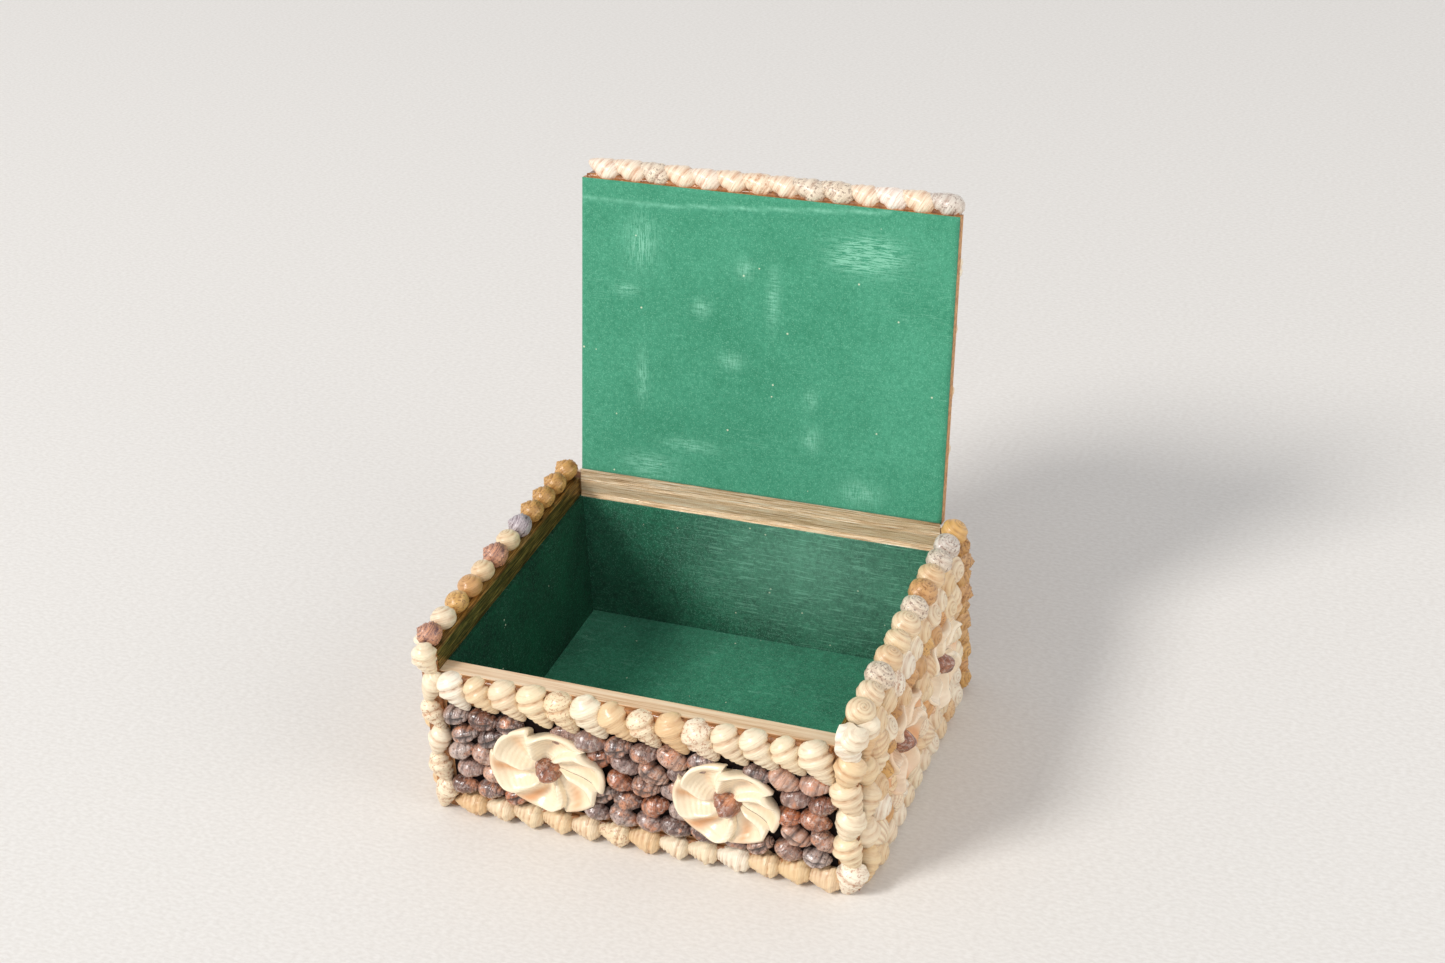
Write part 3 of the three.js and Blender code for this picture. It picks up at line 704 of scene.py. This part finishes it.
def glue_material(name, light, deep, roughness, coat):
    g = Graph(name)
    lumps = g.noise(g.coordinates(), GLUE_SCALE, 4.0, 0.6)
    color = g.ramp(lumps, [(0.3, srgb(*deep)), (0.7, srgb(*light))])
    return g.finish(color, roughness, g.bump(lumps, 0.6, 0.0004), Coat_Weight=coat, Specular_IOR_Level=coat)


tan_glue = glue_material("tan_glue", (186, 124, 70), (104, 60, 30), roughness=0.45, coat=0.3)
deep_glue = glue_material("deep_glue", (140, 88, 48), (70, 38, 20), roughness=0.5, coat=0.25)
# near-black glue under the small glossy shells: painted shade in the gaps between them
painted_shade_glue = glue_material("painted_shade_glue", (30, 20, 19), (8, 5, 6), roughness=0.8, coat=0.05)


# Pieces made of shells

def finish_piece(build, node, face, materials):
    """Make one piece that replaces a node and rides on its face's body."""
    for i, points in enumerate(build.points):
        build.points[i] = face.world(points)
    piece = build.mesh(node + "_shells", materials)
    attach(piece, face.body)
    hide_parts(node)


def start_row(node, seed):
    """A row's face, its region on it, the height of its middle, and its bed of glue."""
    face = face_of(node)
    region = face.region(node)
    build = Build()
    glue_bed(build, region, 1, seed=seed)
    return face, region, (region[2] + region[3]) / 2, build


def shell_row(node, shape, size, pitch, angle, seed, material, glue=tan_glue, reach=0.1, lean=0.0, drop=0.0,
              special=None, inset=0.0):
    """A row of lying shells along x. special gives some shells, by number, another material and tint."""
    face, region, middle, build = start_row(node, seed)
    for i, x in enumerate(places(region[0] + inset, region[1] - inset, pitch, seed)):
        number = ROW_NUMBERS * seed + i
        slot, pick = (special or {}).get(i, (0, None))
        at = (x, middle + drop + sway(number, SHIFT, 0.3))
        heading = angle + sway(i, seed + 1, reach)
        lying_shell(build, shape, size, at, heading, number, slot=slot, lean=lean, pick=pick)
    finish_piece(build, node, face, [material, glue, speckled, top_shell])


def snail_row(node, seed):
    face, region, middle, build = start_row(node, seed)
    for i, x in enumerate(places(region[0], region[1], SNAIL_PITCH, seed)):
        at = (x, middle + sway(i, HEADING, 0.5))
        lean, heading = 0.5 * jitter(i, LEAN), 6.3 * jitter(i, TURN)
        round_shell(build, SNAIL_D, at, ROW_NUMBERS * seed + i, ROW_LIFT, lean, heading)
    finish_piece(build, node, face, [cream, tan_glue])


# Columns: shells lean one way and the other by turns, and beaded ones stand in pairs
SLANTS = (-0.3, 0.34)
COLUMN_SPIRE = 0.3


def shell_column(node, seed, material, fine=True, beads=0, crown=None, size=COLUMN_WHELK,
                 crown_size=CROWN_WHELK):
    """A column of overlapping shells, their tips down. crown is the angle of one more on top."""
    face = face_of(node)
    in_front = face is FACES["front"]
    left, right, low, high = face.region(node)
    middle = (left + right) / 2
    build = Build()
    glue_bed(build, (left, right, low, min(high, FACE_TOP)), 1, seed=seed)
    for i, y in enumerate(places(low, high, CERITH_PITCH, seed, 0.2)):
        number = ROW_NUMBERS * seed + i
        if beads:
            low_at, high_at = (middle, y - 1), (middle + 0.6, y + 4.4)
            round_shell(build, SNAIL_D, low_at, number, SIDE_LIFT, 0.3, 2.0 + i, beads, spire=COLUMN_SPIRE)
            round_shell(build, SMALL_SNAIL_D, high_at, number + PAIR_NUMBER, SIDE_LIFT, 0.5, 4.0 + i, beads,
                        spire=COLUMN_SPIRE)
        else:
            heading = -math.pi / 2 + SLANTS[i % 2] + sway(i, seed + 1, 0.12)
            lying_shell(build, "whelk", size, (middle, y), heading, number, fine)
    outward = math.copysign(1, middle)
    if crown is not None:
        at = (middle + (CROWN_SHIFT * outward if in_front else 0), RIM_TOP - CROWN_DROP)
        lying_shell(build, "whelk", crown_size, at, crown, ROW_NUMBERS * seed + CROWN_NUMBER, pick=0.5)
    if in_front:
        for points in build.points:
            beside_lid = points[:, 1] > LEDGE_Z + 0.2
            reach = np.maximum(points[beside_lid, 0] * outward, COLUMN_REACH)
            points[beside_lid, 0] = reach * outward
    finish_piece(build, node, face, [material, tan_glue])


def rim_row(side, seed, kinds):
    """Round shells on the top of a side wall. kinds names each shell from the left to the right."""
    node = side + "_rim_row"
    face = face_of(node)
    left, right, low, high = face.region(node)
    names = kinds.split()
    build = Build()
    for i, x in enumerate(places(left, right, SNAIL_PITCH, seed, 0.1)):
        slot, beads, pick = RIM_KINDS[names[i]]
        lean, heading = 1.1 + sway(i, RIM_LEAN, 0.15), 1.5 + sway(i, RIM_HEADING, 0.5)
        if beads:
            lean, heading = 0.7, 1.3 + sway(i, RIM_HEADING, 0.4)
        round_shell(build, RIM_SNAIL_D[side], (x, RIM_TOP + RIM_RISE), ROW_NUMBERS * seed + i, RIM_OUT, lean,
                    heading, beads, slot=slot, pick=pick, spire=0.2)
    finish_piece(build, node, face, [cream, golden, speckled, top_shell])


# Rosettes: petals, the hub's share of the radius, how far petals turn, and their relief in millimetres
PETALS = 6
HUB = 0.08
TWIST = 0.65
SIZE_DIFFERENCE = 0.035
PETAL_RELIEF = 7.3
PETAL_FLOOR = 0.9
HOLLOW = 2.1
OUTER_LIP = 1.2
SIDE_LIP = 1.5
DROOP = 0.9
WALL_FOOT = 0.4
BED_SHARE = 0.62

# The wall under the rim: share of the radius, and drop below the rim
PETAL_WALL = [(1.0, 0.9), (0.985, 2.0), (0.9, 9.0)]


def pinwheel(across, up, at, rest, number, amber):
    """The points of a whole rosette: hollow petals, each with a thick lip over the next one.

    u runs from 0 at the centre to 1 at the rim, and v from 0 to 1 across each petal.
    """
    steps = np.concatenate([np.linspace(0, 0.7, 14), np.linspace(0.74, 1, 16)])
    out = np.concatenate([np.linspace(0, 0.8, 14), np.linspace(0.83, 1, 8)])
    u, along = np.meshgrid(out, np.concatenate([steps + i for i in range(PETALS)]), indexing="ij")
    petal_number = np.minimum(np.floor(along - 1e-6), PETALS - 1).clip(0)
    v = along - petal_number

    # outline: each petal draws in towards the next one's lip
    size = 1 + SIZE_DIFFERENCE * np.sin(2.4 * petal_number + number)
    edge = (1 - 0.02 * v - 0.1 * smooth(0.5, 0.96, v) ** 1.6 * (1 - smooth(0.965, 1, v))) * size
    reach = HUB + (np.minimum(edge, 1.0) - HUB) * u
    angle = rest + (petal_number + v) * FULL_TURN / PETALS - TWIST * reach ** 1.3

    # relief: a hollow, an outer lip, a side lip that falls to the next petal, and a drooping rim
    fall = smooth(0.93, 1, v)
    dish = np.sin(math.pi * u) ** 0.8 * hill(v, 0.4, 0.26)
    rim = smooth(0.72, 0.92, u) * (1 - 0.3 * v)
    side = hill(v, 0.8, 0.14) * smooth(0.05, 0.4, u)
    z = PETAL_RELIEF * (0.42 + 0.2 * v ** 1.3 * (1 - fall) + 0.06 * u)
    z = z - HOLLOW * dish + OUTER_LIP * rim + SIDE_LIP * side * (1 - fall) - DROOP * smooth(0.93, 1, u) ** 2
    z = z * (0.5 + 0.5 * smooth(0.06, 0.42, u))
    z = np.clip(z + 0.05 * ripple(7 * u + number, 5 * along, 2.0), PETAL_FLOOR, PETAL_RELIEF)

    # painted shade, tan in the hollows and on the lower side away from the light; amber adds the rosette's
    # own tan tint all over
    lower = 0.5 - 0.5 * np.sin(angle + 0.6)
    shade_and_amber = hill(v, 0.26, 0.2) * smooth(0.1, 0.7, u) * (1 - 0.6 * smooth(0.84, 0.97, u)) * (0.5 + 0.5 * lower)
    shade_and_amber = shade_and_amber + 0.35 * lower ** 2 * smooth(0.8, 0.95, u) * (1 - v) + amber * (1 - 0.5 * v)

    x, y = reach * np.cos(angle), reach * np.sin(angle)
    rows = [(x, y, z)]
    for share, drop in PETAL_WALL:
        rows.append((x[-1:] * share, y[-1:] * share, np.maximum(z[-1:] - drop, WALL_FOOT)))
    x, y, z = (np.concatenate([row[axis] for row in rows]) for axis in range(3))
    points = np.stack([at[0] + across * x, at[1] + up * y, z], -1)
    pad = ((0, len(PETAL_WALL)), (0, 0))
    u, shade_and_amber = np.pad(u, pad, "edge"), np.pad(np.clip(shade_and_amber, 0, 1), pad, "edge")
    return points, np.stack([2 * u, u, shade_and_amber], -1)


def rosette(node, seed, rest=0.35, amber=0.0):
    face = face_of(node)
    left, right, low, high = face.region(node)
    at = ((left + right) / 2, (low + high) / 2)
    across, up = (right - left) / 2 + 0.4, (high - low) / 2 + 0.6
    build = Build()
    bed_x, bed_y = BED_SHARE * across, BED_SHARE * up
    glue_bed(build, (at[0] - bed_x, at[0] + bed_x, at[1] - bed_y, at[1] + bed_y), 2, seed=seed)
    points, shell = pinwheel(across, up, at, rest, seed, amber)
    build.grid(points, shell, kind_of(seed, PLAIN_MARK))
    lying_shell(build, "bean", CENTRE_BEAN, at, 2.6, ROW_NUMBERS * seed + CENTRE_NUMBER, slot=1, pick=0.9)
    finish_piece(build, node, face, [petal, brown, tan_glue])


def staggered(region, rims, seed, pitch, row_pitch, stagger, reach, spill, stop, numbers):
    """Each shell of a field in staggered rows: its number, its place in the row, x, y, and how far it is from
    the nearest rosette's centre, as a share of the rosette's radii."""
    left, right, low, high = region
    lines = max(1, round((high - low) / row_pitch))
    step = (high - low) / lines
    for line in range(lines):
        y = low + (line + 0.5) * step
        shift = (line % 2) * pitch / 2
        spare = pitch / 2 - shift
        start, end = left - spill + stagger * shift, right + spill - stagger * spare
        for i, x in enumerate(places(start, end, pitch, seed + line, reach)):
            away = min(math.hypot((x - (a + b) / 2) / ((b - a) / 2), (y - (c + d) / 2) / ((d - c) / 2))
                       for a, b, c, d in rims)
            if away >= stop:
                yield numbers * line + i, i, x, y, away


def bean_shell(build, number, i, at, away, seed):
    """A small glossy shell, lower at the rosettes."""
    length, width, height = BEAN
    height = np.interp(away, (FIELDS["bean"]["stop"], TUCK_END), (TUCKED_HEIGHT, height))
    at = (at[0], at[1] + sway(number, SHIFT, 0.5))
    lying_shell(build, "bean", (length, width, height), at, sway(number, seed + 7, 0.5), number + seed,
                slit=jitter(number, SLIT) > 0.5)


def side_shell(build, number, i, at, away, seed):
    """A snail, whelk, fan or small glossy shell."""
    number += seed
    choice = jitter(number, CHOICE)
    heading = FULL_TURN * jitter(number, HEADING)
    warm = int(jitter(number, WARMTH) > 0.72)
    if choice < 0.35:
        round_shell(build, SNAIL_D, at, number, SIDE_LIFT, 0.6 * jitter(i, LEAN), heading, slot=warm)
    elif choice < 0.72:
        lying_shell(build, "whelk", SIDE_WHELK, at, heading, number, slot=warm)
    elif choice < 0.9:
        fan_shell(build, SIDE_FAN, at, heading, number, SIDE_FAN_RIBS)
    else:
        lying_shell(build, "bean", BEAN, at, heading, number, slot=1)


def cockle_shell(build, number, i, at, away, seed):
    """A ribbed cockle, its hinge end up."""
    number += seed
    fan_shell(build, COCKLE, at, math.pi / 2 + sway(number, HEADING, 0.3), number)


FIELD_SHELLS = {
    # what adds one shell, the materials with the glue last, the top of the glue and its inset
    "bean": (bean_shell, [brown, painted_shade_glue], THIN_GLUE, FIELD_GLUE_INSET),
    "side": (side_shell, [cream, golden, tan_glue], GLUE_TOP, FIELD_GLUE_INSET),
    "cockle": (cockle_shell, [golden, deep_glue], GLUE_TOP, GLUE_INSET),
}


def field(node, kind, seed):
    """A field of shells round the rosettes of its face, on one bed of glue."""
    face = face_of(node)
    region = face.region(node)
    side = node.removesuffix("field")
    names = [name for name in frame["nodes"] if name.startswith(side) and name.endswith("rosette")]
    rims = [face.region(name) for name in names]
    add_shell, materials, top, inset = FIELD_SHELLS[kind]
    build = Build()
    glue_bed(build, region, len(materials) - 1, top, seed, inset)
    for number, i, x, y, away in staggered(region, rims, seed, **FIELDS[kind]):
        add_shell(build, number, i, (x, y), away, seed)
    finish_piece(build, node, face, materials)


RIM_KINDS = {
    # number of the material in the row, beads round the shell, tint
    "snail": (0, 0, None), "speckled": (2, 0, None), "yellow": (1, 0, 0.6), "amber": (1, 16, 0.8),
    "violet": (3, 18, 0.0), "rose": (3, 18, 1.0), "orange": (1, 0, 0.2),
}
LEFT_RIM = "amber amber amber amber violet snail rose snail orange yellow snail rose"
RIGHT_RIM = "snail snail speckled snail snail snail speckled orange snail speckled speckled yellow"

# Front
TILT = -math.radians(55)
shell_row("front_top_row", "whelk", WHELK, WHELK_PITCH, TILT, 3, cream, reach=0.14, drop=-0.9)
shell_row("front_bottom_row", "cerith", BOTTOM_CERITH, BOTTOM_PITCH, math.pi, 5, cream)
shell_column("front_left_column", 11, cream, crown=-1.25, size=SLIM_WHELK, crown_size=SLIM_CROWN)
shell_column("front_right_column", 13, cream, crown=-1.9)
field("front_field", "bean", 17)
rosette("front_left_rosette", 2)
rosette("front_right_rosette", 4, rest=0.1)

# Sides
for side, seed, kinds in (("right", 20, RIGHT_RIM), ("left", 30, LEFT_RIM)):
    rim_row(side, seed, kinds)
    snail_row(side + "_second_row", seed + 2)
    snail_row(side + "_bottom_row", seed + 4)
    shell_column(side + "_front_column", seed + 6, cream, crown=-1.2)
    shell_column(side + "_back_column", seed + 8, golden, beads=14)
    field(side + "_field", "side", seed + 10)
    rosette(side + "_front_rosette", seed + 12, rest=0.7, amber=0.75)
    rosette(side + "_back_rosette", seed + 14, rest=0.2, amber=0.35)

# Back
shell_row("back_top_row", "whelk", WHELK, WHELK_PITCH, TILT, 41, cream, deep_glue)
shell_row("back_bottom_row", "cerith", BOTTOM_CERITH, BOTTOM_PITCH, math.pi, 43, cream, deep_glue)
shell_column("back_left_column", 45, cream, fine=False)
shell_column("back_right_column", 47, cream, fine=False)
field("back_field", "cockle", 49)
rosette("back_rosette", 51)

# Lid
EDGE_LEAN = 0.36
EDGE_SPECIAL = {2: (2, 0.9), 8: (2, 1.0), 9: (2, 0.7), 13: (2, 0.1)}
shell_row("lid_edge_row", "banded", EDGE_WHELK, EDGE_PITCH, math.pi, 91, banded, lean=EDGE_LEAN,
          special=EDGE_SPECIAL, inset=1.6)
for name, seed in (("lid_front_border", 61), ("lid_back_border", 66)):
    shell_row(name, "cerith", BORDER_CERITH, CERITH_PITCH, 0.15, seed, cream, deep_glue, inset=1.2)
for name, seed in (("lid_left_border", 71), ("lid_right_border", 76)):
    shell_column(name, seed, cream, fine=False)
field("lid_field", "cockle", 81)
rosette("lid_rosette", 86)


# Flock, papers and board

FIBRE_SCALE = 2400.0
MOTTLE_SCALE = 700.0
CLOUD_SCALE = 40.0
DUST_SCALE = 210.0
PALE_FLOCK = srgb(150, 214, 186)
DUST_COLOR = srgb(225, 230, 200)


def flock_material(name, light, deep, wear=False, worn_and_lit_place=None, sheen=0.3, fluff=0.26):
    """wear shows the marks that the lid's lining carries; a place, given by its centre and radii, gets real
    scratches and is painted paler as painted light.
    """
    g = Graph(name)
    light, deep = srgb(*light), srgb(*deep)
    vector = g.coordinates()
    grain = g.noise(vector, FIBRE_SCALE, 2.0, 0.7)
    cloud = g.noise(vector, CLOUD_SCALE, 4.0, 0.6)
    mottle = g.noise(vector, MOTTLE_SCALE, 3.0, 0.7)
    tone = g.math("ADD", g.times(cloud, 0.45), g.times(mottle, 0.55))
    color = g.ramp(tone, [(0.36, deep), (0.64, light)])
    color = g.mix(g.times(g.math("GREATER_THAN", grain, 0.6), fluff), color, PALE_FLOCK)
    color = g.mix(g.times(g.math("LESS_THAN", grain, 0.42), 0.4), color, deep)

    # rubbed lines, faint and mostly level, and specks of dust
    where = g.above(g.noise(vector, 34.0, 2.0), 0.5, 4.0)
    rubbed = g.times(g.streaks((110, 500, 2300), 0.6), where)
    color = g.mix(g.times(rubbed, 0.3), color, PALE_FLOCK)
    dust = g.node("TexVoronoi", {"Vector": vector, "Scale": DUST_SCALE}).outputs["Distance"]
    dusty = g.math("GREATER_THAN", g.noise(vector, 90.0, 1.0), 0.56)
    color = g.mix(g.times(g.times(g.math("LESS_THAN", dust, 0.07), dusty), 0.7), color, DUST_COLOR)
    if wear:
        upright, level, crease = g.attribute("shell")
        tall = g.times(upright, g.streaks((2600, 1, 190), 0.5))
        wide = g.times(level, g.streaks((160, 1, 2300), 0.5))
        color = g.mix(g.times(g.math("ADD", tall, wide, clamp=True), 0.6), color, PALE_FLOCK)
        color = g.mix(g.times(crease, g.times(mottle, 0.8)), color, PALE_FLOCK)
    # painted light: the place is painted paler, more where the flock's tone is lighter, with real scratches
    # over it
    if worn_and_lit_place:
        centre, radii = worn_and_lit_place
        away = g.vector_math("DIVIDE", g.vector_math("SUBTRACT", vector, centre), radii)
        worn_and_lit = g.math("SUBTRACT", 1.0, g.vector_math("LENGTH", away, output="Value"), clamp=True)
        color = g.mix(g.times(worn_and_lit, g.times(tone, 0.75)), color, PALE_FLOCK)
        scratches = g.times(g.streaks((90, 1, 2100), 0.58), g.math("MINIMUM", worn_and_lit, 0.4))
        color = g.mix(scratches, color, PALE_FLOCK)
    height = g.math("ADD", grain, g.times(mottle, 0.7))
    return g.finish(color, 0.95, g.bump(height, 0.6, 0.00022), Sheen_Weight=sheen, Sheen_Roughness=0.5,
                    Specular_IOR_Level=0.15)


flock = flock_material("flock_finish", (54, 146, 110), (20, 102, 72))
# a darker copy of the flock, with little sheen and few pale fibres: painted shade on the left lining, which
# faces away from the light
painted_shade_flock = flock_material("painted_shade_flock_finish", (8, 84, 56), (2, 44, 28), sheen=0.04, fluff=0.1)
# the back lining is a darker copy of the flock, painted shade, with a paler place in the middle and right,
# painted light where the light falls, and real scratches
BACK_WEAR_AND_LIGHT = ((0.024, 0.051, 0.04), (0.062, 0.02, 0.04))
back_flock_painted_light_and_wear = flock_material("back_flock_painted_light_and_wear", (34, 118, 86), (8, 70, 48), worn_and_lit_place=BACK_WEAR_AND_LIGHT)
lid_flock = flock_material("lid_flock", (78, 158, 126), (52, 132, 100), wear=True)

GOLD_PLACES = (0.34, 0.5, 0.68)


def gold_material(name, stops, grain_scale, metal, roughness, relief=0.5):
    """Paper with fine lines or grain; stops are its deep, middle and bright colours."""
    g = Graph(name)
    lines = g.noise(g.coordinates(grain_scale), 1.0, 5.0, 0.7)
    color = g.ramp(lines, [(place, srgb(*stop)) for place, stop in zip(GOLD_PLACES, stops)])
    return g.finish(color, roughness, g.bump(lines, relief, 0.0003), Metallic=metal)


crepe = gold_material("crepe_gold", ((150, 104, 62), (234, 200, 156), (255, 250, 230)),
                      (70, 4200, 4200), 0.35, 0.34, 0.8)
rim_gold = gold_material("rim_gold", ((66, 54, 24), (128, 100, 48), (232, 188, 108)),
                         (3000, 90, 1500), 0.75, 0.34)
edge_gold = gold_material("edge_gold", ((140, 88, 44), (190, 134, 76), (222, 170, 108)),
                          (700, 700, 700), 0.35, 0.45)
peach = gold_material("peach_paper", ((206, 156, 110), (240, 206, 168), (250, 224, 192)),
                      (24, 900, 900), 0.15, 0.42, 0.2)
board = gold_material("board_finish", ((140, 96, 58), (166, 118, 74), (186, 140, 94)),
                      (300, 300, 300), 0.0, 0.75)

NODE_MATERIALS = {
    board: ["base_board", "front_wall", "back_wall", "left_wall", "right_wall"],
    flock: ["floor_lining", "front_lining", "right_lining"],
    back_flock_painted_light_and_wear: ["back_lining"],
    painted_shade_flock: ["left_lining"],
    peach: ["front_edge_strip"],
    rim_gold: ["left_rim_foil", "right_rim_foil"],
    edge_gold: ["lid_board"],
}
for material, nodes in NODE_MATERIALS.items():
    for node in nodes:
        slots = frame["nodes"][node].data.materials
        slots.clear()
        slots.append(material)


# The lid's lining, with its crease and its rubbed places. Flock and paper store one kind all over.

NO_KIND = (0.5, 0.5, 0.0)
WEAR = [
    # x, height above the hinge edge, half width, half height, share of upright lines
    (-43, 84, 5, 8, 1.0), (30, 85, 6, 2, 0.0), (36, 88, 12, 6, 0.0), (36, 89, 8, 4, 0.0),
    (-48, 67, 4, 2, 0.2), (-42, 37, 2, 8, 0.8), (-21, 64, 3, 3, 0.4), (-39, 6, 9, 4, 0.2),
    (37, 7, 7, 4, 0.6), (19, 23, 3, 4, 0.6), (18, 37, 2, 3, 0.5), (-10, 47, 4, 3, 0.5),
    (-6, 79, 3, 3, 0.5), (4, 70, 2, 9, 0.35), (-24, 15, 9, 2, 0.3),
]
LINING_CELLS = (130, 104)
LINING_MARGIN = 0.5
LINING_WAVE = 0.012
LINING_RISE = 0.25

# The crease: its distance from the free edge at one x, its slope, its limits, and where it runs out
CREASE_FROM_FREE = 5.6
CREASE_X = -22
CREASE_SLOPE = 0.075
CREASE_LIMITS = (0.6, 6.8)
CREASE_END = 52
CREASE_STEP = 0.22
CREASE_WIDTH = 0.45


def lid_lining():
    low, high = corners("lid_lining", "lid")
    across, along = LINING_CELLS
    xs = bordered(low[0], high[0], across, LINING_MARGIN)
    ys = bordered(low[1], high[1], along, LINING_MARGIN)
    x, y = np.meshgrid(xs, ys, indexing="ij")
    from_free, from_hinge = y - low[1], high[1] - y
    crease_at = np.clip(CREASE_FROM_FREE - CREASE_SLOPE * (x - CREASE_X), *CREASE_LIMITS) * (x < CREASE_END)
    step = smooth(-0.5, 0.5, from_free - crease_at)
    z = low[2] + LINING_RISE - CREASE_STEP * step + LINING_WAVE * ripple(x / 3, y / 3, 2.0)
    z = np.where(edges(z), high[2], z)
    upright, level = np.zeros_like(x), np.zeros_like(x)
    for cx, cy, rx, ry, share in WEAR:
        blob = hill(x, cx, rx) * hill(from_hinge, cy, ry)
        upright += share * blob
        level += (1 - share) * blob
    crease = hill(from_free, crease_at, CREASE_WIDTH) * (crease_at > CREASE_LIMITS[0] + 0.1)
    build = Build()
    points = np.stack([x, y, z], -1)[:, ::-1]
    build.grid(opened(points), np.stack([upright, level, crease], -1)[:, ::-1], NO_KIND)
    piece = build.mesh("lid_flock_sheet", [lid_flock])
    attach(piece, "lid")
    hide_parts("lid_lining")


# The hinge: a strip of creped gold paper from the back ledge to the lid

HINGE_ROWS = 26
HINGE_COLUMNS = 120
PUCKER = 0.12


def hinge_paper():
    low, high = corners("hinge_strip")
    lining_low, lining_high = corners("lid_lining", "lid")
    top = opened(np.array([0, lining_high[1], lining_low[2]]))
    ledge_y = corners("back_lining")[0][1]

    # y and z of the paper, from the ledge up the wall and over to the lid
    path = np.array([
        [ledge_y + 0.5, low[2] + 0.05],
        [low[1] - 0.1, low[2] + 1.6],
        [low[1] - 0.05, high[2] - 1.2],
        [low[1] + 0.25, high[2] + 0.3],
        [top[1] - 0.35, top[2] - 0.6],
        [top[1] - 0.3, top[2] + 0.9],
    ])
    t = np.linspace(0, len(path) - 1, HINGE_ROWS)
    ys, zs = (np.interp(t, range(len(path)), column) for column in path.T)
    xs = np.linspace(-lid_high[0], lid_high[0], HINGE_COLUMNS)
    x, k = np.meshgrid(xs, np.arange(HINGE_ROWS), indexing="ij")
    y, z = ys[k], zs[k]
    y = y - PUCKER * ripple(x / 2, 6 * z, 3.0) * smooth(0, 3, k) * (1 - smooth(22, 25, k))
    build = Build()
    build.grid(np.stack([x, y, z], -1), NO_KIND, NO_KIND)
    piece = build.mesh("hinge_paper", [crepe])
    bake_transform(piece)
    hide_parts("hinge_strip")


lid_lining()
hinge_paper()


# Stage, light and camera

FLOOR_REACH = 4.0


def stage():
    floor = bpy.data.meshes.new("floor")
    square = [(-1, -1), (1, -1), (1, 1), (-1, 1)]
    floor.from_pydata([(FLOOR_REACH * x, FLOOR_REACH * y, 0) for x, y in square], [], [(0, 1, 2, 3)])
    g = Graph("floor_cloth")
    weave = g.noise(g.coordinates((500, 900, 1)), 1.0, 2.0)
    color = g.ramp(weave, [(0.3, srgb(224, 219, 212)), (0.7, srgb(235, 231, 225))])
    floor.materials.append(g.finish(color, 0.9))
    add_object("floor", floor)


def light(name, place, target, size, power, color):
    lamp = bpy.data.lights.new(name, "AREA")
    lamp.shape = "DISK"
    lamp.size = size
    lamp.energy = power
    lamp.color = color
    obj = add_object(name, lamp)
    obj.location = place
    obj.rotation_mode = "QUATERNION"
    obj.rotation_quaternion = (Vector(target) - Vector(place)).to_track_quat("-Z", "Y")


# The camera: places in metres, angles in radians and the focal length in the photograph's pixels
PHOTO_WIDTH = 1445
PHOTO_FOCAL = 2168.98
SENSOR = 36.0
CAMERA_PLACE = (0.2274, -0.5323, 0.4466)
CAMERA_YAW = 0.3879
CAMERA_PITCH = 0.5396
CAMERA_ROLL = -0.0548


def camera():
    data = bpy.data.cameras.new("camera")
    data.sensor_width = SENSOR
    data.lens = PHOTO_FOCAL / PHOTO_WIDTH * SENSOR
    obj = add_object("camera", data)
    aim = Matrix.Rotation(CAMERA_YAW, 4, "Z") @ Matrix.Rotation(math.pi / 2 - CAMERA_PITCH, 4, "X")
    obj.matrix_world = Matrix.Translation(CAMERA_PLACE) @ aim @ Matrix.Rotation(CAMERA_ROLL, 4, "Z")
    bpy.context.scene.camera = obj


HORIZON = (0.25, (0.96, 0.95, 0.93, 1.0))
ZENITH = (0.6, (0.34, 0.36, 0.40, 1.0))
SKY_STRENGTH = 1.2


def sky():
    """Soft light, brighter near the horizon than above."""
    world = bpy.data.worlds.new("studio")
    bpy.context.scene.world = world
    world.use_nodes = True
    nodes, links = world.node_tree.nodes, world.node_tree.links
    source = nodes.new("ShaderNodeTexCoord")
    parts = nodes.new("ShaderNodeSeparateXYZ")
    ramp = nodes.new("ShaderNodeValToRGB")
    links.new(source.outputs["Generated"], parts.inputs[0])
    links.new(parts.outputs[2], ramp.inputs[0])
    links.new(ramp.outputs[0], nodes["Background"].inputs[0])
    for element, (place, color) in zip(ramp.color_ramp.elements, (HORIZON, ZENITH)):
        element.position = place
        element.color = color
    nodes["Background"].inputs[1].default_value = SKY_STRENGTH


stage()
light("key", (-1.98, -2.4, 2.6), target=(0, 0, 0.04), size=1.2, power=112, color=(1.0, 0.98, 0.96))
light("fill", (2.1, -0.3, 1.3), target=(0, 0, 0.03), size=1.6, power=12, color=(1.0, 0.96, 0.9))
camera()
sky()
bpy.context.scene.view_settings.view_transform = "Standard"
